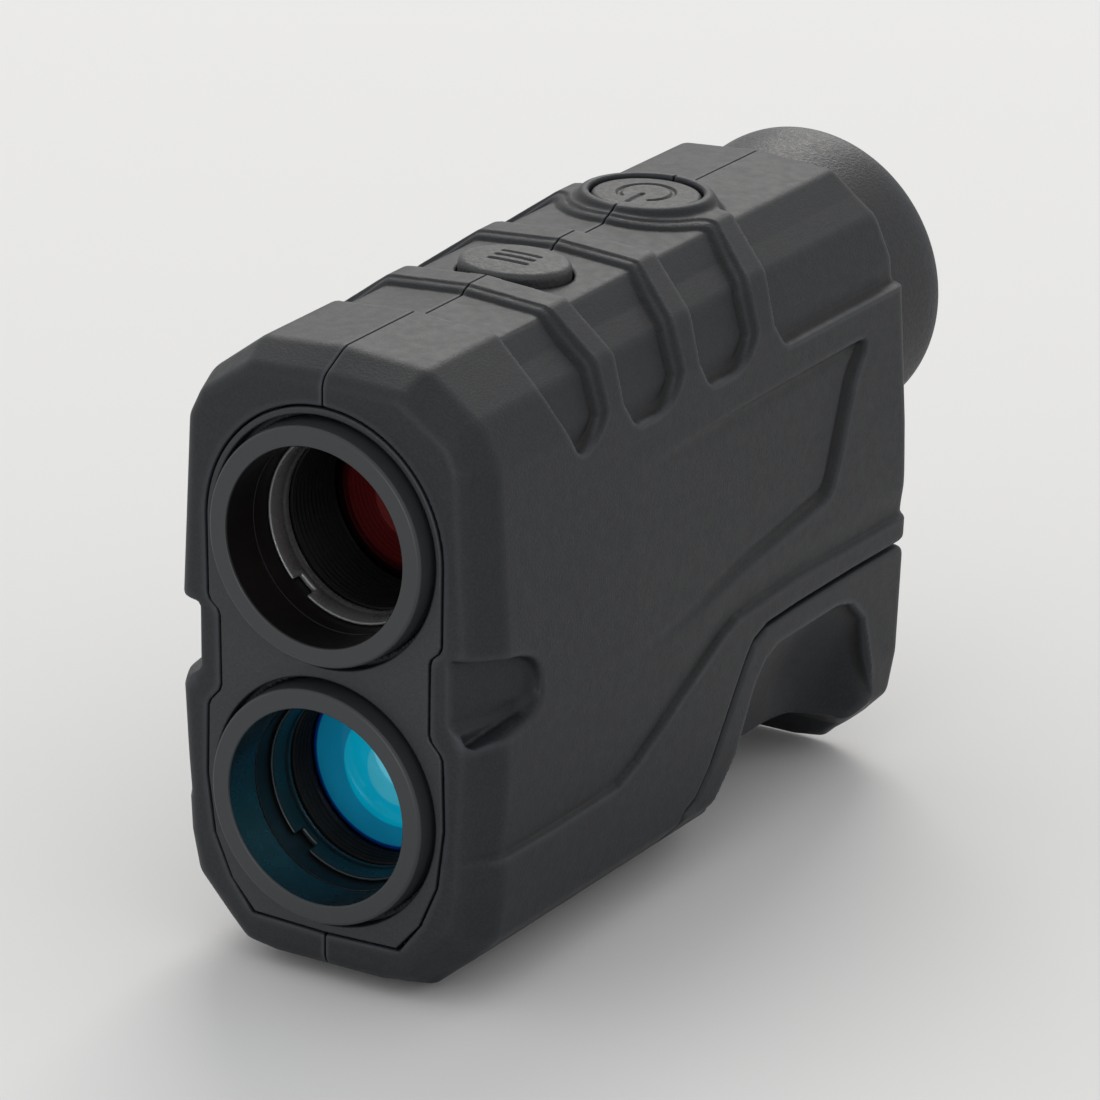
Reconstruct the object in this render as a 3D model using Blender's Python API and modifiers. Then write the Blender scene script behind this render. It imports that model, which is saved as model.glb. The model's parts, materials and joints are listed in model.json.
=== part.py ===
"""Compact laser rangefinder monocular, as separate named pieces.

Lengths below are millimetres. y is counted from the front plate towards the eyepiece and z from the
underside; point() moves y so that the object is centred on the origin. The front faces -Y.
"""

import math

import bmesh
import bpy
from mathutils import Matrix, Vector

MM = 0.001
MID_Y = 52.6
GAP = 0.25
OBJECT_NAME = "laser_rangefinder"

# Optical axes
UPPER_Z = 52.6
LOWER_Z = 21.9
EYE_Z = 54.8

# Housing
SEAM_HALF = 0.1
WALL = 2.6
FRONT_WALL_Y = 3.4
CHAMFER_Y = 4.6
REAR_Y = 95.0
REAR_CHAMFER = 0.7
PLATE_DEPTH = 2.0
PLATE_THICK = 1.7
POCKET_DEPTH = 1.4
POCKET_TOP_DEPTH = 0.95

# Half outlines, from the crown down to the underside, as (x, z)
FRONT_OUTLINE = [(0, 71.6), (9.8, 71.3), (16.3, 66.9), (17.7, 64.0), (18.8, 43.0), (18.8, 31.0),
                 (17.9, 14.4), (16.9, 9.8), (10.8, 3.0), (7.0, 2.4), (0, 2.4)]
OUTER_OUTLINE = [(0, 74.1), (10.6, 73.4), (17.4, 68.4), (19.9, 63.6), (21.1, 43.0), (21.3, 35.0),
                 (20.4, 13.6), (19.4, 8.2), (12.0, 0.6), (7.8, 0.0), (0, 0.0)]
REAR_RISE = 0.8
TOP_POINTS = 4

# Buttons: centre y, half width, half length, top, rim of the hole
POWER_Y = 67.8
POWER_HALF = (6.75, 5.9)
POWER_TOP = 75.15
BOSS_HALF = (8.5, 7.6)
BOSS_TOP = 75.6
MODE_Y = 39.1
MODE_HALF = (6.85, 5.5)
MODE_TOP = 74.95
BUTTON_GAP = 0.2
BUTTON_TRAVEL = 0.55
FLANGE_TOP = 70.6
FLANGE_BOTTOM = 70.1
STEM_BOTTOM = 69.85

# Circuit board under the buttons
BOARD_Z = (66.6, 67.5)
SWITCH_Z = (67.6, 69.0)
PLUNGER_Z = (68.3, 69.6)

# Battery door
DOOR_SEAM = [(45.2, 9.1), (47.4, 10.2), (50.7, 15.3), (54.0, 20.5), (56.6, 24.6), (58.3, 26.6),
             (61.3, 27.7), (68.3, 28.0), (82.0, 28.1)]
DOOR_SEAM_BOTTOM = (42.6, 3.0)
HINGE_Y = 93.0
HINGE_Z = 25.6
HINGE_CORNER_R = 2.15
HINGE_PIN_R = 0.8
HINGE_BORE_R = 0.86
HINGE_HALF = 16.0
HINGE_BORE_END = 16.3
LUG_X = (8.0, 12.0)
LUG_R = 1.8
BAY_WALL = 1.6
BEYOND = 4.0

# Half width of a cutter that passes right through the object from side to side
OUTSIDE_X = 40.0

# Radii of the front channels and of the eyepiece opening
PORT_R = 14.0
BARREL_BORE_R = 11.5
SEAT_R = 11.35
BAFFLE_BORE_R = 10.3
EYE_PORT_R = 14.3

# Battery: a CR2 cell, 15.6 mm across and 27 mm long
CELL_R = 7.8
CELL_Y = (61.0, 88.0)
CELL_Z = 18.5
HOLDER_HALF = 8.8

ROUND_STEPS = 30
HOOD_STEPS = 44


def point(x, y, z):
    return Vector((x, y - MID_Y, z)) * MM


def clear_scene():
    for obj in list(bpy.data.objects):
        bpy.data.objects.remove(obj, do_unlink=True)
    for mesh in list(bpy.data.meshes):
        bpy.data.meshes.remove(mesh)


def new_collection(name):
    found = bpy.data.collections.new(name)
    bpy.context.scene.collection.children.link(found)
    return found


clear_scene()
PARTS = new_collection(OBJECT_NAME)
CUTTERS = new_collection("cutters")


def material(name, colour, roughness, metallic=0.0):
    made = bpy.data.materials.new(name)
    made.use_nodes = True
    shader = made.node_tree.nodes["Principled BSDF"]
    shader.inputs["Base Color"].default_value = (*colour, 1.0)
    shader.inputs["Roughness"].default_value = roughness
    shader.inputs["Metallic"].default_value = metallic
    made.diffuse_color = (*colour, 1.0)
    return made


def add_object(name, mesh, look=None):
    """Links a mesh as a part when it has a look (colour, roughness, metallic), else as a cutter."""
    obj = bpy.data.objects.new(name, mesh)
    if look is None:
        CUTTERS.objects.link(obj)
        obj.hide_render = True
        obj.display_type = "WIRE"
    else:
        PARTS.objects.link(obj)
        mesh.materials.append(material(name, *look))
    return obj


def mesh_from(bm, name):
    bmesh.ops.remove_doubles(bm, verts=bm.verts, dist=1e-7)
    bmesh.ops.recalc_face_normals(bm, faces=bm.faces)
    mesh = bpy.data.meshes.new(name)
    bm.to_mesh(mesh)
    bm.free()
    return mesh


def loft(name, sections, look=None):
    """A closed solid through rings of points in order, every ring with the same number of points."""
    bm = bmesh.new()
    rings = [[bm.verts.new(p) for p in section] for section in sections]
    count = len(rings[0])
    for near, far in zip(rings, rings[1:]):
        for k in range(count):
            bm.faces.new((near[k], near[(k + 1) % count], far[(k + 1) % count], far[k]))
    bm.faces.new(rings[0])
    bm.faces.new(rings[-1])
    bmesh.ops.triangulate(bm, faces=bm.faces)
    return add_object(name, mesh_from(bm, name), look)


def box(name, low, high, look=None):
    bm = bmesh.new()
    low, high = point(*low), point(*high)
    size = high - low
    matrix = Matrix.Translation((low + high) / 2) @ Matrix.Diagonal((*size, 1.0))
    bmesh.ops.create_cube(bm, size=1.0, matrix=matrix)
    return add_object(name, mesh_from(bm, name), look)


AXES = {
    "x": Matrix(((0, 0, 1), (1, 0, 0), (0, 1, 0))),
    "y": Matrix(((1, 0, 0), (0, 0, -1), (0, 1, 0))),
    "z": Matrix.Identity(3),
}


def slab(name, outline, low, high, axis, look=None):
    """A flat outline given as (y, z), (x, z) or (x, y), extruded from low to high along its normal."""
    curve = bpy.data.curves.new(name, "CURVE")
    curve.dimensions = "2D"
    curve.fill_mode = "BOTH"
    curve.extrude = abs(high - low) / 2 * MM
    spline = curve.splines.new("POLY")
    spline.points.add(len(outline) - 1)
    for made, (u, v) in zip(spline.points, outline):
        made.co = (u * MM, v * MM, 0.0, 1.0)
    spline.use_cyclic_u = True
    obj = bpy.data.objects.new(name + "_curve", curve)
    bpy.context.scene.collection.objects.link(obj)
    bpy.context.view_layer.update()
    graph = bpy.context.evaluated_depsgraph_get()
    mesh = bpy.data.meshes.new_from_object(obj.evaluated_get(graph))
    bpy.data.objects.remove(obj, do_unlink=True)
    middle = (low + high) / 2
    offset = {"x": (middle, -MID_Y, 0), "y": (0, middle - MID_Y, 0), "z": (0, -MID_Y, middle)}[axis]
    mesh.transform(Matrix.Translation(Vector(offset) * MM) @ AXES[axis].to_4x4())
    bm = bmesh.new()
    bm.from_mesh(mesh)
    bpy.data.meshes.remove(mesh)
    return add_object(name, mesh_from(bm, name), look)


def turned(name, profile, centre, axis, look=None, steps=ROUND_STEPS, squeeze=(1.0, 1.0)):
    """Turns a profile of (radius, distance along the axis from centre) into a round solid.

    A profile that starts and ends at radius 0 is solid; any other profile is a closed ring.
    squeeze scales the two directions across the axis, for an oval.
    """
    on_axis = profile[0][0] == 0 and profile[-1][0] == 0
    area = sum(a[0] * b[1] - b[0] * a[1] for a, b in zip(profile, profile[1:] + profile[:1]))
    if area > 0:
        profile = profile[::-1]
    bm = bmesh.new()
    verts = [bm.verts.new((r * MM, 0.0, d * MM)) for r, d in profile]
    pairs = list(zip(verts, verts[1:]))
    if not on_axis:
        pairs.append((verts[-1], verts[0]))
    for a, b in pairs:
        bm.edges.new((a, b))
    mesh = bpy.data.meshes.new(name + "_profile")
    bm.to_mesh(mesh)
    bm.free()
    shape = bpy.data.objects.new(name + "_profile", mesh)
    bpy.context.scene.collection.objects.link(shape)
    screw = shape.modifiers.new("turn", "SCREW")
    screw.steps = steps
    screw.render_steps = steps
    screw.use_merge_vertices = True
    screw.merge_threshold = 1e-5
    screw.use_normal_calculate = True
    bpy.context.view_layer.update()
    graph = bpy.context.evaluated_depsgraph_get()
    made = bpy.data.meshes.new_from_object(shape.evaluated_get(graph))
    bpy.data.objects.remove(shape, do_unlink=True)
    made.transform(Matrix.Diagonal((squeeze[0], squeeze[1], 1.0, 1.0)))
    bm = bmesh.new()
    bm.from_mesh(made)
    bpy.data.meshes.remove(made)
    obj = add_object(name, mesh_from(bm, name), look)
    obj.location = point(*centre)
    turn = {"x": (0, math.pi / 2, 0), "y": (-math.pi / 2, 0, 0), "z": (0, 0, 0)}[axis]
    obj.rotation_euler = turn
    return obj


def rod(name, centre, axis, radius, low, high, look=None, steps=ROUND_STEPS):
    profile = [(0, low), (radius, low), (radius, high), (0, high)]
    return turned(name, profile, centre, axis, look, steps)


def boolean(obj, other, operation):
    made = obj.modifiers.new(operation.lower() + "_" + other.name, "BOOLEAN")
    made.operation = operation
    made.solver = "EXACT"
    made.object = other
    return made


def cut(obj, *others):
    for other in others:
        boolean(obj, other, "DIFFERENCE")


def move_origin(obj, origin):
    """Puts the object's origin at a place given in the frame of the constants above."""
    shift = point(*origin)
    obj.data.transform(Matrix.Translation(-shift))
    obj.location = shift


def inset(outline, distance):
    """Moves a half outline inwards; its first and last points stay on x = 0."""
    points = [Vector(p) for p in outline]
    whole = [Vector((-points[1].x, points[1].y))] + points + [Vector((-points[-2].x, points[-2].y))]
    moved = []
    for before, here, after in zip(whole, whole[1:], whole[2:]):
        into = []
        for a, b in ((before, here), (here, after)):
            way = (b - a).normalized()
            into.append(Vector((way.y, -way.x)))
        mitre = (into[0] + into[1]).normalized()
        moved.append(here + mitre * (distance / max(0.3, mitre.dot(into[0]))))
    moved[0].x = 0.0
    moved[-1].x = 0.0
    return [tuple(p) for p in moved]


def raised(outline, rise):
    """Lifts the top points of a half outline."""
    return [(x, z + rise) if k < TOP_POINTS - 1 else (x, z) for k, (x, z) in enumerate(outline)]


def half_section(outline, y, side, flat=SEAM_HALF):
    """One ring of a half body: the outline on its side, closed along the seam."""
    ring = [(max(x, flat) * side, y, z) for x, z in outline]
    return [point(*p) for p in ring]


def body_sections(margin, y_start, y_end):
    """(y, outline) pairs of the body, moved inwards by margin."""
    outer = OUTER_OUTLINE
    rear = raised(OUTER_OUTLINE, REAR_RISE)
    if margin:
        outer, rear = inset(outer, margin), inset(rear, margin)
        return [(y_start, outer), (POWER_Y, rear), (y_end, rear)]
    return [(0.0, FRONT_OUTLINE), (CHAMFER_Y, outer), (POWER_Y, rear), (REAR_Y - REAR_CHAMFER, rear),
            (REAR_Y, inset(rear, REAR_CHAMFER))]


def half_body(name, side, look=None):
    sections = body_sections(0.0, 0.0, REAR_Y)
    return loft(name, [half_section(outline, y, side) for y, outline in sections], look)


def whole_ring(outline, y):
    right = [(x, z) for x, z in outline]
    left = [(-x, z) for x, z in outline[-2:0:-1]]
    return [point(x, y, z) for x, z in right + left]


def side_x(z):
    """Half width of the body at a height."""
    found = OUTER_OUTLINE[TOP_POINTS - 1:]
    for (x0, z0), (x1, z1) in zip(found, found[1:]):
        if z1 <= z <= z0:
            return x0 + (x1 - x0) * (z0 - z) / (z0 - z1)
    return found[0][0]


def door_outline(grow):
    """The door as (y, z), grown by a distance: along the seam, past the hinge, then outside the body.

    The door itself, which is shrunk by the gap, has a round corner about its hinge. The room for it
    in the housing has none, so that its rear face can swing past.
    """
    line = [Vector((DOOR_SEAM_BOTTOM[0] - 0.6, -2.0)), Vector(DOOR_SEAM_BOTTOM)]
    line += [Vector(p) for p in DOOR_SEAM]
    line.append(Vector((HINGE_Y, HINGE_Z + HINGE_CORNER_R + GAP)))
    moved = []
    for k, here in enumerate(line):
        before = line[max(k - 1, 0)]
        after = line[min(k + 1, len(line) - 1)]
        way = (after - before).normalized()
        moved.append(here + Vector((-way.y, way.x)) * grow)
    radius = HINGE_CORNER_R + GAP + grow
    if grow < 0:
        for step in range(1, 7):
            angle = math.pi / 2 * (1 - step / 6)
            moved.append(Vector((HINGE_Y + radius * math.cos(angle),
                                 HINGE_Z + radius * math.sin(angle))))
        moved.append(Vector((HINGE_Y + radius, HINGE_Z - 1.5)))
        moved.append(Vector((REAR_Y + BEYOND, HINGE_Z - 3.0)))
    else:
        moved.append(Vector((REAR_Y + BEYOND, HINGE_Z + radius)))
    moved.append(Vector((REAR_Y + BEYOND, -2.0)))
    return [tuple(p) for p in moved]


BLACK = (0.045, 0.045, 0.047)
DARK = (0.02, 0.02, 0.021)

# ---------------------------------------------------------------- cutters shared by both halves
POCKETS = [
    # name, depth at the crown, then (front y, rear y) at the crown, the three corners and the foot
    ("pocket_1", POCKET_TOP_DEPTH,
     [(18.4, 29.6), (18.4, 29.4), (16.8, 28.7), (18.6, 27.4), (21.0, 24.6)]),
    ("pocket_2", POCKET_TOP_DEPTH,
     [(33.0, 48.6), (32.8, 48.4), (32.1, 44.9), (30.4, 43.7), (33.0, 41.4)]),
    ("pocket_3", POCKET_TOP_DEPTH,
     [(52.0, 65.6), (51.8, 65.7), (48.6, 61.6), (46.9, 60.3), (49.2, 58.0)]),
    ("pocket_4", POCKET_TOP_DEPTH + 0.25,
     [(69.2, 99.0), (69.0, 99.0), (65.5, 99.0), (63.7, 99.0), (66.4, 99.0)]),
]
POCKET_FOOT_Z = 60.0


def pocket(name, top_depth, edges):
    """A band round the top of the body between two ribs, both sides in one closed strip."""
    outline = raised(OUTER_OUTLINE, REAR_RISE / 2)[:TOP_POINTS]
    outline.append((side_x(POCKET_FOOT_Z), POCKET_FOOT_Z))
    deep = inset(raised(OUTER_OUTLINE, REAR_RISE / 2), POCKET_DEPTH)[:TOP_POINTS]
    shallow = inset(raised(OUTER_OUTLINE, REAR_RISE / 2), top_depth)[:2]
    deep[:2] = shallow
    deep.append((side_x(POCKET_FOOT_Z) - POCKET_DEPTH, POCKET_FOOT_Z + 0.6))
    high = inset(raised(OUTER_OUTLINE, REAR_RISE / 2), -3.0)[:TOP_POINTS]
    high.append((side_x(POCKET_FOOT_Z) + 3.0, POCKET_FOOT_Z))
    high = [(x, z + 0.2) for x, z in high]
    sections = []
    order = [(k, -1) for k in range(len(edges) - 1, 0, -1)] + [(k, 1) for k in range(len(edges))]
    for k, side in order:
        front, rear = edges[k]
        (xd, zd), (xh, zh) = deep[k], high[k]
        sections.append([point(side * xd, front, zd), point(side * xd, rear, zd),
                         point(side * xh, rear, zh), point(side * xh, front, zh)])
    return loft(name, sections)


pocket_cutters = [pocket(*row) for row in POCKETS]
boss_keep = turned("boss_keep", [(0, 60), (1, 60), (1, 90), (0, 90)], (0, POWER_Y, 0), "z",
                   steps=ROUND_STEPS, squeeze=BOSS_HALF)
for made in pocket_cutters[2:]:
    cut(made, boss_keep)

cavity = loft("cavity", [whole_ring(o, y) for y, o in
                         body_sections(WALL, FRONT_WALL_Y, REAR_Y - WALL)])
bay_keep = slab("bay_keep", door_outline(BAY_WALL), -OUTSIDE_X, OUTSIDE_X, "x")
cut(cavity, bay_keep)
door_void = slab("door_void", door_outline(0.0), -OUTSIDE_X, OUTSIDE_X, "x")

PLATE_ARCH_Z = 52.7
PLATE_ARCH_R = 15.4
PLATE_HOLE_R = 14.65


def plate_outline(grow):
    """The front plate as (x, z): an arch, a waist beside the thumb notches and a straight foot."""
    right = []
    for step in range(13):
        angle = math.pi / 2 * (1 - step / 12)
        right.append((math.cos(angle) * (PLATE_ARCH_R + grow),
                      PLATE_ARCH_Z + math.sin(angle) * (PLATE_ARCH_R + grow)))
    right += [(15.3 + grow, 43.5), (13.7 + grow, 41.6), (13.6 + grow, 32.6), (15.4 + grow, 30.3),
              (15.6 + grow, 22.0), (14.7 + grow, 15.0), (12.5 + grow, 10.0), (9.6 + grow, 6.5 - grow),
              (0, 6.2 - grow)]
    left = [(-x, z) for x, z in right[-2:0:-1]]
    return right + left


plate_recess = slab("plate_recess", plate_outline(GAP), -5.0, PLATE_DEPTH, "y")
upper_port = rod("upper_port", (0, 0, UPPER_Z), "y", PORT_R, -2, 8)
lower_port = rod("lower_port", (0, 0, LOWER_Z), "y", PORT_R, -2, 8)
eye_port = rod("eye_port", (0, 0, EYE_Z), "y", EYE_PORT_R, 88, 99)


def oval_cutter(name, y, half, z_low, z_high, grow):
    profile = [(0, z_low), (1, z_low), (1, z_high), (0, z_high)]
    return turned(name, profile, (0, y, 0), "z", squeeze=(half[0] + grow, half[1] + grow))


power_hole = oval_cutter("power_hole", POWER_Y, POWER_HALF, 69, 90, BUTTON_GAP)
mode_hole = oval_cutter("mode_hole", MODE_Y, MODE_HALF, 69, 90, BUTTON_GAP)


def notch(name, side):
    """The scooped thumb notch that opens to the front at mid height."""
    mouth = [(-6, 45.2), (3.8, 43.2), (7.5, 42.2), (11.8, 39.4), (12.4, 35.4), (8.6, 32.0),
             (2.0, 31.4), (-6, 31.6)]
    floor = [(-6, 42.6), (1.6, 41.4), (3.4, 40.6), (5.2, 38.6), (5.4, 36.2), (3.6, 34.6),
             (1.6, 34.0), (-6, 34.0)]
    rings = [(22.5, mouth), (20.6, [((a + c * 2) / 3, (b + d * 2) / 3) for (a, b), (c, d)
                                    in zip(floor, mouth)]), (16.2, floor)]
    return loft(name, [[point(side * x, y, z) for y, z in ring] for x, ring in rings])


RELIEF = [(84.4, 56.4), (57.0, 56.2), (30.0, 56.0), (27.0, 31.2), (44.1, 33.7), (57.6, 36.1),
          (74.4, 38.4), (77.4, 39.6), (83.0, 51.5), (85.4, 54.6)]
RELIEF_DEPTH = (0.12, 0.7)


def relief(name, side):
    """The arrow-shaped panel of each side, deepest at its rear edge."""
    deep, high = [], []
    for y, z in RELIEF:
        depth = RELIEF_DEPTH[0] + (RELIEF_DEPTH[1] - RELIEF_DEPTH[0]) * (y - 27) / 58
        deep.append(point(side * (side_x(z) - depth), y, z))
        high.append(point(side * 26, y, z))
    return loft(name, [deep, high])


# The bore is blind on the right; the pin goes in from the left
hinge_bore = rod("hinge_bore", (0, HINGE_Y, HINGE_Z), "x", HINGE_BORE_R, -OUTSIDE_X, HINGE_BORE_END,
                 steps=24)


def lug_outline(radius, top):
    arc = []
    for step in range(9):
        angle = math.pi + math.pi * step / 8
        arc.append((HINGE_Y + radius * math.cos(angle), HINGE_Z + radius * math.sin(angle)))
    return [(HINGE_Y - radius, top)] + arc + [(HINGE_Y + radius, top)]


def boss(name, side):
    """One half of the raised oval collar round the power button."""
    top = [(0, 72.2), (1, 72.2), (1, BOSS_TOP - 0.7), (0.93, BOSS_TOP), (0, BOSS_TOP)]
    made = turned(name, top, (0, POWER_Y, 0), "z", squeeze=(BOSS_HALF[0] - 0.3, BOSS_HALF[1] - 0.3))
    ends = sorted((side * (SEAM_HALF + 0.15), side * 20))
    boolean(made, box(name + "_half", (ends[0], 50, 70), (ends[1], 85, 80)), "INTERSECT")
    return made


# ---------------------------------------------------------------- housing
for side, name in ((1, "housing_right"), (-1, "housing_left")):
    half = half_body(name, side, (BLACK, 0.62))
    cut(half, cavity, door_void)
    ends = sorted((side * LUG_X[0], side * LUG_X[1]))
    lug = slab(name + "_lug", lug_outline(LUG_R, 29.4), ends[0], ends[1], "x")
    boolean(half, lug, "UNION")
    cut(half, hinge_bore, plate_recess, upper_port, lower_port, eye_port, *pocket_cutters)
    boolean(half, boss(name + "_boss", side), "UNION")
    cut(half, power_hole, mode_hole, notch(name + "_notch", side), relief(name + "_relief", side))

front_plate = slab("front_plate", plate_outline(0.0), 0.0, PLATE_THICK, "y",
                   ((0.055, 0.06, 0.064), 0.5))
cut(front_plate, rod("upper_plate_hole", (0, 0, UPPER_Z), "y", PLATE_HOLE_R, -6, 6),
    rod("lower_plate_hole", (0, 0, LOWER_Z), "y", PLATE_HOLE_R, -6, 6))


# ---------------------------------------------------------------- the two front channels
def hood(name, z):
    profile = [(BARREL_BORE_R, -1.6), (11.8, -1.9), (13.7, -1.9), (14.4, -1.0), (14.4, PLATE_THICK),
               (13.6, PLATE_THICK), (13.6, 3.3), (BARREL_BORE_R, 3.3)]
    return turned(name, profile, (0, 0, z), "y", ((0.06, 0.063, 0.066), 0.42), steps=HOOD_STEPS)


hood("upper_hood_ring", UPPER_Z)
hood("lower_hood_ring", LOWER_Z)


def barrel(name, z, shoulder, end):
    profile = [(BARREL_BORE_R, 3.6), (15.0, 3.6), (15.0, 5.4), (13.4, 5.4), (13.4, end - 4),
               (12.4, end), (9.8, end), (9.8, shoulder), (BARREL_BORE_R, shoulder)]
    return turned(name, profile, (0, 0, z), "y", (DARK, 0.35))


barrel("upper_lens_barrel", UPPER_Z, 28.0, 42.0)
barrel("lower_lens_barrel", LOWER_Z, 21.0, 32.0)


def retainer(name, z):
    """A threaded ring with two spanner notches."""
    profile = [(11.0, 6.0), (SEAT_R, 6.0), (SEAT_R, 9.0), (10.4, 9.0), (10.4, 8.2)]
    ring = turned(name, profile, (0, 0, z), "y", ((0.03, 0.03, 0.03), 0.25))
    slot = box(name + "_slot", (-15, 4, z - 1.1), (15, 7.0, z + 1.1))
    cut(ring, slot)
    return ring


retainer("upper_retaining_ring", UPPER_Z)
retainer("lower_retaining_ring", LOWER_Z)


def spacer(name, z, start, end):
    profile = [(BAFFLE_BORE_R, start), (SEAT_R, start), (SEAT_R, end), (BAFFLE_BORE_R, end)]
    return turned(name, profile, (0, 0, z), "y", (DARK, 0.3))


def lens(name, z, centre, rim, radius, front, rear, look, steps=32):
    """A lens with an edge from rim[0] to rim[1] and bulges of front and rear on its two faces."""
    profile = [(0, rim[0] - front)]
    for part in (0.35, 0.65, 0.85):
        profile.append((radius * part, rim[0] - front * (1 - part * part)))
    profile += [(radius, rim[0]), (radius, rim[1])]
    for part in (0.85, 0.65, 0.35):
        profile.append((radius * part, rim[1] + rear * (1 - part * part)))
    profile.append((0, rim[1] + rear))
    return turned(name, profile, (0, centre, z), "y", look, steps)


GLASS_RED = ((0.35, 0.03, 0.03), 0.05)
GLASS_BLUE = ((0.02, 0.35, 0.5), 0.05)
GLASS_CLEAR = ((0.75, 0.82, 0.85), 0.04)

spacer("upper_baffle_tube", UPPER_Z, 9.3, 18.2)
lens("objective_front_lens", UPPER_Z, 0, (18.5, 20.6), 11.3, 1.6, 0.9, GLASS_RED)
spacer("objective_spacer", UPPER_Z, 22.0, 24.0)
lens("objective_rear_lens", UPPER_Z, 0, (24.4, 27.6), 11.3, -0.5, 0.7, GLASS_CLEAR)

spacer("lower_baffle_tube", LOWER_Z, 9.3, 13.2)
lens("receiver_lens", LOWER_Z, 0, (13.6, 16.4), 11.3, 1.9, 1.0, GLASS_BLUE)
spacer("receiver_rear_spacer", LOWER_Z, 18.0, 20.7)

# ---------------------------------------------------------------- prism group and display
prism_holder = box("prism_holder", (-12, 56, 38.5), (12, 82, 65.8), ((0.05, 0.05, 0.05), 0.5))
cut(prism_holder, box("prism_pocket", (-9.6, 57.6, 41.6), (9.6, 80.4, 70.0)),
    rod("prism_front_hole", (0, 0, UPPER_Z), "y", 8.4, 50, 60),
    rod("prism_rear_hole", (0, 0, EYE_Z), "y", 7.6, 79, 90),
    rod("prism_laser_hole", (0, 66.0, 0), "z", 3.4, 30, 45, steps=24))
slab("half_penta_prism", [(58.2, 44.0), (58.2, 61.0), (60.0, 62.8), (72.0, 62.8), (63.6, 42.2),
                          (59.8, 42.2)], -9.2, 9.2, "x", GLASS_CLEAR)
slab("roof_prism", [(64.4, 42.2), (72.8, 62.8), (78.6, 62.8), (80.0, 61.2), (80.0, 47.0),
                    (75.0, 42.2)], -9.2, 9.2, "x", GLASS_CLEAR)
display_frame = rod("display_frame", (0, 0, EYE_Z), "y", 10.4, 82.3, 83.9, ((0.04, 0.04, 0.04), 0.5))
cut(display_frame, box("display_window", (-5.2, 80, EYE_Z - 4.2), (5.2, 86, EYE_Z + 4.2)))
box("display_glass", (-5.0, 82.5, EYE_Z - 4.0), (5.0, 83.5, EYE_Z + 4.0), ((0.5, 0.56, 0.52), 0.1))

# ---------------------------------------------------------------- electronics
PCB = ((0.02, 0.16, 0.06), 0.45)
STEEL = ((0.6, 0.6, 0.62), 0.3, 1.0)
slab("main_board", [(-12.5, 28.0), (12.5, 28.0), (12.5, 81.0), (-12.5, 81.0)],
     BOARD_Z[0], BOARD_Z[1], "z", PCB)
box("detector_board", (-13, 40.6, 12.5), (13, 41.7, 33.0), PCB)
turned("photodiode", [(0, 36.0), (2.4, 36.0), (2.7, 36.4), (2.7, 39.4), (3.2, 39.4), (3.2, 40.3),
                      (0, 40.3)], (0, 0, LOWER_Z), "y", STEEL, steps=20)
box("laser_board", (-11, 60.0, 31.2), (11, 84.0, 32.2), PCB)
turned("laser_diode", [(0, 32.5), (3.2, 32.5), (3.2, 33.4), (2.6, 33.4), (2.6, 36.6), (2.2, 37.0),
                       (0, 37.0)], (0, 66.0, 0), "z", STEEL, steps=20)
for name, y in (("power", POWER_Y), ("mode", MODE_Y)):
    body = box(name + "_switch_body", (-2.6, y - 2.6, SWITCH_Z[0]), (2.6, y + 2.6, SWITCH_Z[1]),
               ((0.12, 0.12, 0.13), 0.4))
    cut(body, rod(name + "_switch_bore", (0, y, 0), "z", 1.15, 66, 72, steps=20))
    rod(name + "_switch_plunger", (0, y, 0), "z", 0.9, PLUNGER_Z[0], PLUNGER_Z[1],
        ((0.5, 0.5, 0.5), 0.4), steps=16)


# ---------------------------------------------------------------- buttons
def button(name, y, half, top):
    """An oval cap with a dished edge, a flange that stays under the housing and a stem."""
    flange = 1 + 0.8 / half[0]
    profile = [(0, top), (0.55, top - 0.02), (0.85, top - 0.1), (0.95, top - 0.3), (1.0, top - 0.7),
               (1.0, FLANGE_TOP), (flange, FLANGE_TOP), (flange, FLANGE_BOTTOM), (0.22, FLANGE_BOTTOM),
               (0.22, STEM_BOTTOM), (0, STEM_BOTTOM)]
    return turned(name, profile, (0, y, 0), "z", ((0.07, 0.07, 0.072), 0.75), squeeze=half)


power_button = button("power_button", POWER_Y, POWER_HALF, POWER_TOP)
mode_button = button("mode_button", MODE_Y, MODE_HALF, MODE_TOP)
SYMBOL_DEPTH = 0.25


def ring_arc(radius, width, start, end, steps=12):
    """The outline of an open ring as (x, y) about its own centre."""
    outer, inner = [], []
    for step in range(steps + 1):
        angle = math.radians(start + (end - start) * step / steps)
        outer.append(((radius + width / 2) * math.sin(angle), -(radius + width / 2) * math.cos(angle)))
        inner.append(((radius - width / 2) * math.sin(angle), -(radius - width / 2) * math.cos(angle)))
    return outer + inner[::-1]


def shifted(outline, y):
    return [(u, v + y) for u, v in outline]


# The power sign is an open ring with a bar; its opening faces the front
cut(power_button,
    slab("power_ring", shifted(ring_arc(3.2, 0.6, 32, 328), POWER_Y), POWER_TOP - SYMBOL_DEPTH,
         POWER_TOP + 2, "z"),
    box("power_bar", (-0.32, POWER_Y - 4.2, POWER_TOP - SYMBOL_DEPTH),
        (0.32, POWER_Y - 0.9, POWER_TOP + 2)))
# Three plain bars mark the second button
cut(mode_button, *[box("mode_bar_%d" % k, (-2.6, MODE_Y + v - 0.28, MODE_TOP - SYMBOL_DEPTH - 0.02),
                       (2.6, MODE_Y + v + 0.28, MODE_TOP + 2)) for k, v in enumerate((-1.5, 0, 1.5))])

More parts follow.
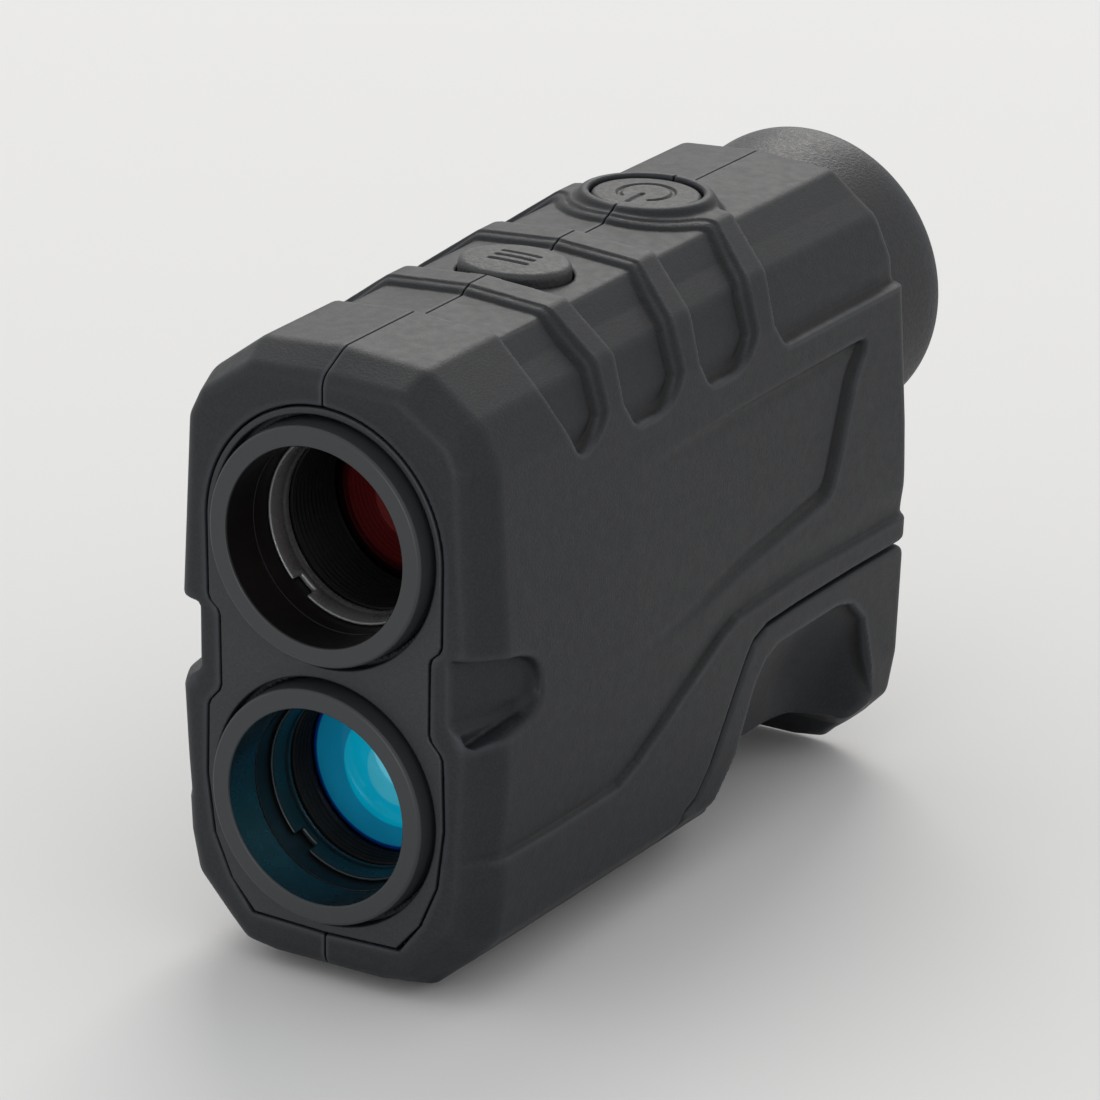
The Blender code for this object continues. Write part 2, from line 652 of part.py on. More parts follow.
# ---------------------------------------------------------------- eyepiece
turned("eyepiece_tube", [(11.8, 85.0), (13.0, 85.0), (13.9, 86.0), (13.9, 88.4), (16.0, 88.4),
                         (16.0, 92.2), (13.9, 92.2), (13.9, 98.0), (11.8, 98.0)],
       (0, 0, EYE_Z), "y", (DARK, 0.3))
turned("diopter_ring", [(14.1, 95.4), (15.6, 95.4), (15.6, 99.5), (10.2, 99.5), (10.2, 98.3),
                        (14.1, 98.3)], (0, 0, EYE_Z), "y", (DARK, 0.5))
turned("eyepiece_cell", [(9.6, 86.2), (11.6, 86.2), (11.6, 96.6), (10.6, 97.1), (9.0, 97.1),
                         (9.0, 95.2), (9.9, 95.2), (9.9, 90.4), (9.0, 90.4), (9.0, 89.8),
                         (9.6, 89.8)], (0, 0, EYE_Z), "y", (DARK, 0.35))
lens("eye_lens", EYE_Z, 0, (91.4, 94.4), 9.7, 1.0, 0.9, GLASS_CLEAR, 28)
lens("field_lens", EYE_Z, 0, (86.6, 89.4), 9.4, -0.3, 0.0, GLASS_CLEAR, 28)
turned("eyecup", [(15.8, 95.5), (16.7, 95.5), (17.3, 98.6), (18.2, 103.0), (18.5, 105.2),
                  (18.3, 106.6), (17.5, 107.0), (16.4, 105.8), (14.2, 102.2), (12.6, 100.4),
                  (12.6, 99.8), (15.8, 99.8)],
       (0, 0, EYE_Z), "y", ((0.035, 0.035, 0.036), 0.8), steps=HOOD_STEPS)
turned("eyepiece_seal", [(14.0, 93.4), (14.25, 93.4), (14.25, 94.4), (14.0, 94.4)], (0, 0, EYE_Z), "y",
       ((0.02, 0.02, 0.02), 0.9))

# ---------------------------------------------------------------- battery and door
holder_outline = [(58.6, 12.5), (58.6, 24.6), (60.4, 27.2), (90.2, 27.2), (90.2, 12.5), (89.6, 12.5),
                  (89.6, 26.5), (60.6, 26.5), (59.6, 24.8), (59.6, 12.5)]
slab("battery_holder", holder_outline, -HOLDER_HALF, HOLDER_HALF, "x", ((0.05, 0.05, 0.05), 0.5))
turned("battery", [(0, CELL_Y[0]), (3.0, CELL_Y[0]), (3.0, CELL_Y[0] + 0.9), (7.2, CELL_Y[0] + 0.9),
                   (CELL_R, CELL_Y[0] + 1.5), (CELL_R, CELL_Y[1] - 0.5), (7.3, CELL_Y[1]),
                   (0, CELL_Y[1])], (0, 0, CELL_Z), "y", ((0.25, 0.27, 0.3), 0.35, 0.6))
box("positive_contact", (-4.0, 59.9, CELL_Z - 5), (4.0, 60.4, CELL_Z + 5), STEEL)


def spring(name, y_front, y_rear, turns, r_front, r_rear, wire, look):
    """A conical contact spring whose wire is swept along a coil."""
    curve = bpy.data.curves.new(name, "CURVE")
    curve.dimensions = "3D"
    curve.bevel_depth = wire * MM
    curve.bevel_resolution = 1
    curve.use_fill_caps = True
    per_turn = 12
    spline = curve.splines.new("POLY")
    spline.points.add(turns * per_turn)
    for k, made in enumerate(spline.points):
        part = k / (turns * per_turn)
        radius = r_front + (r_rear - r_front) * part
        angle = math.tau * k / per_turn
        place = point(radius * math.cos(angle), y_front + (y_rear - y_front) * part,
                      CELL_Z + radius * math.sin(angle))
        made.co = (*place, 1.0)
    obj = bpy.data.objects.new(name + "_curve", curve)
    bpy.context.scene.collection.objects.link(obj)
    bpy.context.view_layer.update()
    graph = bpy.context.evaluated_depsgraph_get()
    mesh = bpy.data.meshes.new_from_object(obj.evaluated_get(graph))
    bpy.data.objects.remove(obj, do_unlink=True)
    bm = bmesh.new()
    bm.from_mesh(mesh)
    bmesh.ops.remove_doubles(bm, verts=bm.verts, dist=1e-6)
    bmesh.ops.recalc_face_normals(bm, faces=bm.faces)
    bm.to_mesh(mesh)
    bm.free()
    return add_object(name, mesh, look)


spring("negative_spring", 88.25, 89.35, 3, 2.2, 5.4, 0.2, STEEL)

SCOOP_Y = [52.6, 55.0, 57.0, 59.1, 61.1, 64.1, 71.2, 78.4, 82.0, 85.4, 87.6]
SCOOP_TOP = [8.8, 12.6, 16.8, 21.1, 23.3, 24.5, 24.6, 24.7, 23.8, 20.8, 14.2]
SCOOP_IN = [17.9, 17.3, 16.4, 15.4, 14.0, 12.8, 12.1, 12.1, 12.7, 14.8, 18.2]


def scoop(name, side):
    """The finger scoop of one side of the door, deepest low down in its middle."""
    sections = []
    for y, top, into in zip(SCOOP_Y, SCOOP_TOP, SCOOP_IN):
        edge = side_x(top)
        middle = (edge * 0.38 + into * 0.62, top * 0.5 + 3.6)
        ring = [(30, top + 0.2), (edge + 0.05, top), middle, (into, 6.4), (into - 1.2, -3), (30, -3)]
        sections.append([point(side * x, y, z) for x, z in ring])
    return loft(name, sections)


arch_outline = [(50.2, -2), (51.4, 0.2), (54.6, 1.3), (57.6, 3.0), (60.2, 5.3), (62.8, 6.8),
                (66.0, 7.2), (83.0, 7.2), (87.0, 6.2), (89.8, 4.0), (91.4, 1.2), (92.4, -2)]
heel_outline = [(93.8, -3), (94.2, 0.8), (94.8, 3.0), (94.9, 20.5), (99.0, 20.5), (99.0, -3)]
door = loft("battery_door", [whole_ring(outline, y) for y, outline
                             in body_sections(0.0, 0.0, REAR_Y)], (BLACK, 0.62))
boolean(door, slab("door_keep", door_outline(-GAP), -OUTSIDE_X, OUTSIDE_X, "x"), "INTERSECT")
cut(door, slab("arch", arch_outline, -OUTSIDE_X, OUTSIDE_X, "x"), slab("heel", heel_outline, -OUTSIDE_X, OUTSIDE_X, "x"),
    scoop("scoop_right", 1), scoop("scoop_left", -1),
    box("cell_bay", (-9.8, 52.0, 10.2), (9.8, 91.9, 40)),
    box("slot_right", (LUG_X[0] - GAP, 90.6, 23.3), (LUG_X[1] + GAP, 99, 32)),
    box("slot_left", (-LUG_X[1] - GAP, 90.6, 23.3), (-LUG_X[0] + GAP, 99, 32)), hinge_bore)
rod("door_hinge_pin", (0, HINGE_Y, HINGE_Z), "x", HINGE_PIN_R, -HINGE_HALF, HINGE_HALF, STEEL, steps=16)

# ---------------------------------------------------------------- origins on the joint axes
move_origin(door, (0, HINGE_Y, HINGE_Z))

for obj in PARTS.objects:
    obj.data.shade_smooth()
    obj.data.set_sharp_from_angle(angle=math.radians(30))
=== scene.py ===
"""The looks of a compact laser rangefinder monocular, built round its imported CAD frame.

Lengths below are millimetres unless a name says otherwise. y is counted from the front plate towards
the eyepiece and z from the underside; placed() turns them into metres in the frame's own axes.
The moulded pieces are described as distance fields and meshed with a surface net whose points are
pulled onto the exact surface; the turned pieces are profiles spun about their axis.
"""

import json
import math

import bmesh
import bpy
import numpy as np
from mathutils import Matrix, Vector


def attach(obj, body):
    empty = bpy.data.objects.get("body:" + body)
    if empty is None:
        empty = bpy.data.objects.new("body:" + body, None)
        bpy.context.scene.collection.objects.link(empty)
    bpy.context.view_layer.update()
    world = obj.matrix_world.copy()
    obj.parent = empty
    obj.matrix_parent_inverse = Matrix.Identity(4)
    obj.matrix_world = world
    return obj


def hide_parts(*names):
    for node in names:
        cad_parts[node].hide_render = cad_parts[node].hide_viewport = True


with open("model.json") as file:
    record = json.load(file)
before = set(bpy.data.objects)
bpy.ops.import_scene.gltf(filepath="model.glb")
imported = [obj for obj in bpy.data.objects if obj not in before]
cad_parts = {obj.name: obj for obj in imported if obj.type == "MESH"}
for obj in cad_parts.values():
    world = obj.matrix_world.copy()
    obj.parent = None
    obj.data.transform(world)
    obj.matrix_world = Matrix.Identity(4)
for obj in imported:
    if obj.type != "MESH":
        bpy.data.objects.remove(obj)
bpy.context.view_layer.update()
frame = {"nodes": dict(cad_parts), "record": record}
COARSE = 1.0

MM = 0.001
MID_Y = 52.6
UPPER_Z = 52.6
LOWER_Z = 21.9
EYE_Z = 54.8
HINGE_Y = 93.0
HINGE_Z = 25.6
GAP = 0.25


def placed(points):
    """Metres in the frame's axes from millimetres in the measuring axes."""
    moved = np.array(points, np.float64)
    moved[:, 1] -= MID_Y
    return moved * MM


# ---------------------------------------------------------------- distance fields
def blend_max(a, b, r):
    """The larger of two distances, with the edge between them rounded over a width of about r."""
    h = np.maximum(r - np.abs(a - b), 0.0)
    return np.maximum(a, b) + h * h / (4.0 * r)


def blend_min(a, b, r):
    return -blend_max(-a, -b, r)


def carve(body, tool, r):
    return blend_max(body, -tool, r)


def ramp(t):
    """A smooth step from 0 to 1 as t goes from 0 to 1."""
    t = np.clip(t, 0.0, 1.0)
    return t * t * (3.0 - 2.0 * t)


def polygon(u, v, points):
    """Signed distance to a closed outline, negative inside it."""
    nearest = None
    sign = None
    for (u0, v0), (u1, v1) in zip(points, points[1:] + points[:1]):
        du, dv = u1 - u0, v1 - v0
        t = np.clip(((u - u0) * du + (v - v0) * dv) / (du * du + dv * dv), 0.0, 1.0)
        square = (u - u0 - du * t) ** 2 + (v - v0 - dv * t) ** 2
        low, high = v >= v0, v < v1
        side = du * (v - v0) > dv * (u - u0)
        flip = (low & high & side) | (~low & ~high & ~side)
        turn = np.where(flip, -1.0, 1.0)
        nearest = square if nearest is None else np.minimum(nearest, square)
        sign = turn if sign is None else sign * turn
    return sign * np.sqrt(nearest)


def oval(x, y, centre_y, half_x, half_y):
    """Roughly the distance to an upright oval wall about x = 0."""
    scaled = np.sqrt((x / half_x) ** 2 + ((y - centre_y) / half_y) ** 2 + 1e-9)
    return (scaled - 1.0) * (half_x + half_y) / 2.0


def box_field(x, y, z, low, high):
    return np.maximum(np.maximum(np.abs(x - (low[0] + high[0]) / 2) - (high[0] - low[0]) / 2,
                                 np.abs(y - (low[1] + high[1]) / 2) - (high[1] - low[1]) / 2),
                      np.abs(z - (low[2] + high[2]) / 2) - (high[2] - low[2]) / 2)


# ---------------------------------------------------------------- meshing
def axis_steps(*spans):
    """Grid lines from (start, end, step) spans laid end to end."""
    found = []
    for start, end, step in spans:
        count = max(2, int(round((end - start) / (step * COARSE))))
        found.append(np.linspace(start, end, count, endpoint=False))
    found.append(np.array([spans[-1][1]]))
    return np.concatenate(found).astype(np.float32)


def surface_net(values, axes):
    """Points and quads of the zero surface: a point in each crossed cell, a quad round each crossed edge."""
    inside = values < 0
    cells = tuple(n - 1 for n in values.shape)
    size = cells[0] * cells[1] * cells[2]
    total = np.zeros((size, 3))
    count = np.zeros(size)
    rings = []
    for axis in range(3):
        others = [(axis + 1) % 3, (axis + 2) % 3]
        near = [slice(None)] * 3
        far = [slice(None)] * 3
        near[axis], far[axis] = slice(None, -1), slice(1, None)
        a_in, b_in = inside[tuple(near)], inside[tuple(far)]
        found = np.argwhere(a_in != b_in)
        a = values[tuple(near)][tuple(found.T)].astype(np.float64)
        b = values[tuple(far)][tuple(found.T)].astype(np.float64)
        t = a / (a - b)
        where = np.stack([axes[k][found[:, k]].astype(np.float64) for k in range(3)], 1)
        where[:, axis] += t * (axes[axis][found[:, axis] + 1] - axes[axis][found[:, axis]])
        whole = np.ones(len(found), bool)
        corners = []
        for first, second in ((-1, -1), (0, -1), (0, 0), (-1, 0)):
            cell = found.copy()
            cell[:, others[0]] += first
            cell[:, others[1]] += second
            good = np.ones(len(cell), bool)
            for k in range(3):
                good &= (cell[:, k] >= 0) & (cell[:, k] < cells[k])
            flat = (cell[:, 0] * cells[1] + cell[:, 1]) * cells[2] + cell[:, 2]
            flat = np.where(good, flat, 0)
            whole &= good
            for k in range(3):
                total[:, k] += np.bincount(flat[good], where[good, k], size)
            count += np.bincount(flat[good], minlength=size)
            corners.append(flat)
        corners = np.stack(corners, 1)[whole]
        leaving = a_in[tuple(found.T)][whole]
        rings.append(np.where(leaving[:, None], corners, corners[:, ::-1]))
    used = np.nonzero(count)[0]
    index = np.full(size, -1)
    index[used] = np.arange(len(used))
    return total[used] / count[used, None], index[np.concatenate(rings)]


def slopes(field, p, h):
    """Central differences of a field at points."""
    found = []
    for k in range(3):
        step = np.zeros(3)
        step[k] = h
        ahead, behind = p + step, p - step
        found.append((field(ahead[:, 0], ahead[:, 1], ahead[:, 2])
                      - field(behind[:, 0], behind[:, 1], behind[:, 2])) / (2 * h))
    return np.stack(found, 1)


def pull(field, p, reach):
    """Moves points onto the zero surface, each by at most reach."""
    start = p.copy()
    for _ in range(3):
        g = slopes(field, p, 0.03)
        f = field(p[:, 0], p[:, 1], p[:, 2])
        p = p - g * (f / np.maximum((g * g).sum(1), 0.2))[:, None]
        shift = p - start
        length = np.linalg.norm(shift, axis=1)
        p = start + shift * np.minimum(1.0, reach / np.maximum(length, 1e-9))[:, None]
    return p


def relaxed(p, quads, share):
    """Each point moved part of the way to the mean of its neighbours."""
    total = np.zeros_like(p)
    count = np.zeros(len(p))
    for k in range(4):
        a, b = quads[:, k], quads[:, (k + 1) % 4]
        for here, there in ((a, b), (b, a)):
            for c in range(p.shape[1]):
                total[:, c] += np.bincount(here, p[there, c], len(p))
            count += np.bincount(here, minlength=len(p))
    return p + (total / np.maximum(count, 1)[:, None] - p) * share


# How far from x = 0 the faces of a joined skin are shaded as the seam, and how dark
SEAM_SHADE = 0.13
SEAM_EDGE = -1.1
# How far from the surface its bend and its normal are sampled
EDGE_REACH = 0.45
NORMAL_REACH = 0.16


def skin(field, axes, keep=None, joined=False):
    """Points, quads, exact normals and edge values of a field's zero surface.

    keep may drop hidden faces by their centres. The edge value is above 0 on edges and below 0 in creases,
    and where joined is set it is low along x = 0, where the two halves meet.
    """
    grid = np.meshgrid(*axes, indexing="ij", sparse=True)
    values = np.broadcast_to(field(*grid), tuple(len(a) for a in axes)).astype(np.float32)
    p, quads = surface_net(values, axes)
    step = float(np.median(np.diff(axes[1])))
    if keep is not None:
        quads = quads[keep(*p[quads].mean(1).T)]
        used = np.unique(quads)
        index = np.full(len(p), -1)
        index[used] = np.arange(len(used))
        p, quads = p[used], index[quads]
    p = pull(field, p, step)
    p = relaxed(p, quads, 0.35)
    p = pull(field, p, step)
    normal = slopes(field, p, NORMAL_REACH)
    normal /= np.maximum(np.linalg.norm(normal, axis=1), 1e-9)[:, None]
    # The finishes paint a highlight where this edge value is high and shade where it is low.
    bend = -6.0 * field(p[:, 0], p[:, 1], p[:, 2])
    for k in range(3):
        shift = np.zeros(3)
        shift[k] = EDGE_REACH
        for q in (p + shift, p - shift):
            bend = bend + field(q[:, 0], q[:, 1], q[:, 2])
    bend = np.clip(bend / EDGE_REACH, -2.0, 2.0)[:, None]
    for _ in range(4):
        bend = relaxed(bend, quads, 0.6)
    bend = bend[:, 0]
    bend[(np.abs(p[:, 0]) < SEAM_SHADE) & joined] = SEAM_EDGE
    return p, quads, normal, bend


def moulded(name, found, mirror=False):
    """A mesh object of a skin. mirror builds it for the other side of x = 0."""
    p, quads, normal, bend = found
    if mirror:
        p, normal = p * (-1, 1, 1), normal * (-1, 1, 1)
        quads = quads[:, ::-1]
    mesh = bpy.data.meshes.new(name)
    mesh.from_pydata(placed(p).tolist(), [], quads.tolist())
    mesh.update()
    mesh.shade_smooth()
    edge = mesh.attributes.new("edge", "FLOAT", "POINT")
    edge.data.foreach_set("value", bend.astype(np.float32))
    mesh.normals_split_custom_set_from_vertices(normal.tolist())
    obj = bpy.data.objects.new(name, mesh)
    bpy.context.scene.collection.objects.link(obj)
    return obj


def softened(profile, radius, closed):
    """A profile with each corner replaced by a small arc, as (r, d, is_arc)."""
    points = [Vector(p) for p in profile]
    count = len(points)
    made = []
    for k, here in enumerate(points):
        if not closed and k in (0, count - 1):
            made.append((here.x, here.y, 0.0))
            continue
        before, after = points[k - 1], points[(k + 1) % count]
        back, ahead = before - here, after - here
        reach = min(radius, back.length * 0.45, ahead.length * 0.45)
        a, b = here + back.normalized() * reach, here + ahead.normalized() * reach
        turn = back.normalized().dot(ahead.normalized())
        if turn < -0.995:
            made.append((here.x, here.y, 0.0))
            continue
        for step in range(5):
            t = step / 4
            q = a * (1 - t) ** 2 + here * (2 * t * (1 - t)) + b * t * t
            made.append((q.x, q.y, 1.0))
    return made


def turned(name, profile, z, steps=160, radius=0.15):
    """A round piece about an axis along y at height z, from a profile of (radius, y)."""
    closed = not (profile[0][0] == 0 and profile[-1][0] == 0)
    rows = softened(profile, radius, closed)
    steps = max(24, int(steps / COARSE))
    angles = np.arange(steps) * math.tau / steps
    points, edge = [], []
    for r, d, arc in rows:
        points.append(np.stack([r * np.cos(angles), np.full(steps, d), z + r * np.sin(angles)], 1))
        edge += [arc] * steps
    points = np.concatenate(points)
    faces = []
    count = len(rows)
    for k in range(count if closed else count - 1):
        a, b = k * steps, ((k + 1) % count) * steps
        for j in range(steps):
            n = (j + 1) % steps
            faces.append((a + j, a + n, b + n, b + j))
    mesh = bpy.data.meshes.new(name)
    mesh.from_pydata(placed(points).tolist(), [], faces)
    attribute = mesh.attributes.new("edge", "FLOAT", "POINT")
    # Rounded corners get an edge value, on which the finishes paint a highlight.
    attribute.data.foreach_set("value", np.array(edge, np.float32) * 0.8)
    bm = bmesh.new()
    bm.from_mesh(mesh)
    bmesh.ops.remove_doubles(bm, verts=bm.verts, dist=1e-7)
    bmesh.ops.recalc_face_normals(bm, faces=bm.faces)
    bm.to_mesh(mesh)
    bm.free()
    mesh.shade_smooth()
    obj = bpy.data.objects.new(name, mesh)
    bpy.context.scene.collection.objects.link(obj)
    weighted = obj.modifiers.new("weighted", "WEIGHTED_NORMAL")
    weighted.weight = 80
    return obj


# ---------------------------------------------------------------- the housing's shape
CHAMFER_Y = 4.6
REAR_Y = 95.0
POWER_Y = 67.8
REAR_RISE = 0.8
# Half the cross-section as (x, z): at the front plate, and behind the front chamfer
FRONT_OUTLINE = [(0, 71.6), (9.8, 71.3), (16.3, 66.9), (17.7, 64.0), (18.8, 43.0), (18.8, 31.0),
                 (17.9, 14.4), (16.9, 9.8), (10.8, 3.0), (7.0, 2.4), (0, 2.4)]
# CORNER_R is the radius of each corner of the outline. The first LIFTED corners rise towards the rear
OUTER_OUTLINE = [(0, 74.1), (10.6, 73.4), (17.4, 68.4), (19.9, 63.6), (21.1, 43.0), (21.3, 35.0),
                 (20.4, 13.6), (19.4, 8.2), (12.0, 0.6), (7.8, 0.0), (0, 0.0)]
CORNER_R = [0.0, 2.2, 3.2, 2.6, 6.0, 6.0, 5.0, 1.8, 1.8, 2.0, 0.0]
LIFTED = 3


def turn_width(k):
    """How wide to blend corner k of the outline so that it gets its radius."""
    (x0, z0), (x1, z1), (x2, z2) = OUTER_OUTLINE[k - 1:k + 2]
    turn = abs(math.atan2(z2 - z1, x2 - x1) - math.atan2(z1 - z0, x1 - x0))
    return max(0.01, 1.15 * CORNER_R[k] * math.tan(turn / 2) * math.sin(turn))


WIDTHS = [0.0] + [turn_width(k) for k in range(1, len(OUTER_OUTLINE) - 1)]


def section(x, y, z):
    """Distance to the body's outline at each y, chamfer included."""
    share = blend_min(y / CHAMFER_Y, 1.0, 0.16)
    rise = REAR_RISE * blend_min(np.maximum((y - CHAMFER_Y) / (POWER_Y - CHAMFER_Y), 0.0), 1.0, 0.12)
    across = np.abs(x)
    found = None
    for k in range(len(OUTER_OUTLINE) - 1):
        ends = []
        for j in (k, k + 1):
            (fx, fz), (ox, oz) = FRONT_OUTLINE[j], OUTER_OUTLINE[j]
            lift = rise if j < LIFTED else 0.0
            ends.append((fx + (ox - fx) * share, fz + (oz - fz) * share + lift))
        (ax, az), (bx, bz) = ends
        length = np.sqrt((bx - ax) ** 2 + (bz - az) ** 2)
        plane = ((az - bz) * (across - ax) + (bx - ax) * (z - az)) / length
        found = plane if found is None else blend_max(found, plane, WIDTHS[k])
    return found


# How far round the outline its upper corners lie, and the foot of the grip pockets
LAST_GRIP_FACET = 5
REACH = [0.0]
for near, far in zip(OUTER_OUTLINE[:4], OUTER_OUTLINE[1:4]):
    REACH.append(REACH[-1] + math.dist(near, far))
FOOT_Z = 60.0
FOOT = REACH[-1] + (OUTER_OUTLINE[3][1] - FOOT_Z)


def around(x, z):
    """How far round the outline a place is, counted from the crown."""
    across = np.abs(x)
    nearest = None
    for k in range(LAST_GRIP_FACET):
        (x0, z0), (x1, z1) = OUTER_OUTLINE[k], OUTER_OUTLINE[k + 1]
        start = sum(math.dist(a, b) for a, b in zip(OUTER_OUTLINE[:k], OUTER_OUTLINE[1:k + 1]))
        length = math.dist((x0, z0), (x1, z1))
        along = ((across - x0) * (x1 - x0) + (z - z0) * (z1 - z0)) / length
        along = np.clip(along, 0.0, length)
        square = (across - x0 - along * (x1 - x0) / length) ** 2 + (z - z0 - along * (z1 - z0) / length) ** 2
        if nearest is None:
            nearest, found = square, start + along
        else:
            closer = square < nearest
            nearest = np.where(closer, square, nearest)
            found = np.where(closer, start + along, found)
    return found


# Grip pockets: depth at the crown, then (front y, rear y) at the crown, the three corners and the foot
POCKETS = [
    (0.95, [(18.4, 29.6), (18.4, 29.4), (16.8, 28.7), (18.6, 27.4), (21.0, 24.6)]),
    (0.95, [(33.0, 48.6), (32.8, 48.4), (32.1, 44.9), (30.4, 43.7), (33.0, 41.4)]),
    (0.95, [(52.0, 65.6), (51.8, 65.7), (48.6, 61.6), (46.9, 60.3), (49.2, 58.0)]),
    (1.20, [(69.2, 104.0), (69.0, 104.0), (65.5, 104.0), (63.7, 104.0), (66.4, 104.0)]),
]
POCKET_DEPTH = 1.4
LEDGE = 1.05
WALL_RUN = 0.62
BOSS_HALF = (8.2, 7.3)
BOSS_TOP = 75.4


def grip(x, y, z):
    """Depth of the grip pockets, with the stepped wall that each rib turns to the front."""
    place = around(x, z)
    stations = REACH + [FOOT]
    depth = 0.0
    clear = oval(x, y, POWER_Y, *BOSS_HALF)
    for number, (crown_depth, edges) in enumerate(POCKETS):
        margin, wrap = (0.2, 0.3) if number == 3 else (0.9, 1.0)
        front = np.interp(place, stations, [e[0] for e in edges])
        rear = np.interp(place, stations, [e[1] for e in edges])
        full = np.interp(place, [0, REACH[1], REACH[1] + 4.0], [crown_depth, crown_depth, POCKET_DEPTH])
        side = blend_max(front - y, place - FOOT, 1.4)
        outer = blend_max(blend_max(side, y - rear, 3.4), margin - clear, 1.6)
        inner = blend_max(blend_max(side, y - rear + LEDGE, 2.8), margin + LEDGE * wrap - clear, 1.6)
        depth = depth + full * (0.5 * ramp(-outer / WALL_RUN) + 0.5 * ramp(-inner / WALL_RUN))
        bead = np.exp(-((-outer - LEDGE * 0.62) / 0.3) ** 2) * ramp((y - front) / 2.0)
        depth = depth - 0.16 * bead * ramp((rear - y + 1.5) / 1.0)
    return depth


RELIEF = [(83.6, 56.4), (57.0, 56.2), (30.0, 56.0), (27.0, 31.2), (44.1, 33.7), (57.6, 36.1),
          (74.0, 38.3), (75.6, 38.8), (76.9, 40.0), (82.4, 51.2), (84.9, 54.3), (85.2, 55.5), (84.7, 56.2)]
SKIRT = [(3.4, 18.4), (15.9, 18.2), (28.8, 18.4), (33.1, 20.0), (46.2, 26.9), (51.1, 29.6), (54.1, 30.7),
         (67.5, 31.5), (81.1, 31.3), (97.0, 31.2)]


def panel(y, z):
    """Depth of the arrow-shaped side panel, less the small step of the skirt below it."""
    inside = polygon(y, z, RELIEF)
    deep = 0.74 * np.clip((y - 31.0) / 46.0, 0.0, 1.0)
    run = np.interp(y, [30.0, 60.0], [2.0, 0.8])
    groove = np.exp(-((-inside - 1.25) / 0.75) ** 2) * ramp((58.0 - z) / 5.0) * ramp((y - 30.0) / 30.0)
    depth = deep * ramp(-inside / run) + 0.30 * groove
    line = np.interp(y, [p[0] for p in SKIRT], [p[1] for p in SKIRT])
    below = ramp((line - z) / 0.6 + 0.5) * ramp((z - 1.5) / 4.0)
    fade = ramp((y + 1.0) / 5.0)
    hollow = np.exp(-(np.maximum(z - line - 0.5, 0.0) / 3.0) ** 2) * (1.0 - below)
    return depth + (0.38 * hollow - 0.28 * below) * fade


def shell(x, y, z):
    """The whole moulded body, door included, before its openings."""
    body = section(x, y, z) + grip(x, y, z) + panel(y, z)
    body = blend_max(body, -y, 1.25)
    body = blend_max(body, y - REAR_Y, 2.1)
    collar = blend_max(oval(x, y, POWER_Y, *BOSS_HALF), z - BOSS_TOP, 0.8)
    collar = np.maximum(collar, 71.0 - z)
    return blend_min(body, collar, 1.0)


DOOR_SEAM = [(42.6, 3.0), (45.2, 9.1), (47.4, 10.2), (50.7, 15.3), (54.0, 20.5), (56.6, 24.6),
             (58.3, 26.6), (61.3, 27.7), (68.3, 28.0), (82.0, 28.1)]


def door_outline(grow):
    """The door as (y, z), grown by a distance. Only the door itself has the round hinge corner."""
    line = [Vector((42.0, -2.0))] + [Vector(p) for p in DOOR_SEAM] + [Vector((HINGE_Y, HINGE_Z + 2.4))]
    moved = []
    for k, here in enumerate(line):
        way = (line[min(k + 1, len(line) - 1)] - line[max(k - 1, 0)]).normalized()
        moved.append(here + Vector((-way.y, way.x)) * grow)
    radius = 2.4 + grow
    if grow < 0:
        for step in range(1, 7):
            angle = math.pi / 2 * (1 - step / 6)
            moved.append(Vector((HINGE_Y + radius * math.cos(angle), HINGE_Z + radius * math.sin(angle))))
        moved.append(Vector((HINGE_Y + radius, HINGE_Z - 1.5)))
        moved.append(Vector((REAR_Y + 4.0, HINGE_Z - 3.0)))
    else:
        moved.append(Vector((REAR_Y + 4.0, HINGE_Z + radius)))
    moved.append(Vector((REAR_Y + 4.0, -2.0)))
    return [tuple(p) for p in moved]


DOOR_ROOM = door_outline(0.0)
DOOR_KEEP = door_outline(-GAP - 0.25)


def plate_outline(grow, arch_steps=32):
    """The front plate as (x, z): an arch, a waist beside the thumb notches and a straight foot."""
    right = []
    for step in range(arch_steps + 1):
        angle = math.pi / 2 * (1 - step / arch_steps)
        right.append((math.cos(angle) * (15.4 + grow), 52.7 + math.sin(angle) * (15.4 + grow)))
    right += [(15.3 + grow, 43.6), (15.0 + grow, 42.9), (14.0 + grow, 42.0), (13.75 + grow, 41.3),
              (13.65 + grow, 33.0), (13.9 + grow, 32.2), (15.1 + grow, 30.9), (15.4 + grow, 30.2),
              (15.6 + grow, 22.0), (14.7 + grow, 15.0), (12.5 + grow, 10.0), (9.6 + grow, 6.5 - grow),
              (0, 6.2 - grow)]
    return right + [(-x, z) for x, z in right[-2:0:-1]]


# The thumb notch as (y, z) at the body's surface and at its deepest, and the groove along its lower lip
NOTCH_MOUTH = [(-8, 44.3), (8.4, 41.2), (10.6, 40.0), (11.6, 38.2), (11.6, 35.3), (10.2, 33.6),
               (7.6, 32.6), (3.0, 31.9), (-8, 30.2)]
NOTCH_FLOOR = [(-8, 43.7), (8.0, 40.7), (10.0, 39.7), (11.0, 38.1), (11.0, 36.6), (9.6, 35.7),
               (7.2, 35.1), (3.0, 34.6), (-8, 33.0)]
LIP_GROOVE = ((1.2, 32.9), (8.6, 34.5))
LIP_RADIUS = 0.75
NOTCH_RUN = 4.6


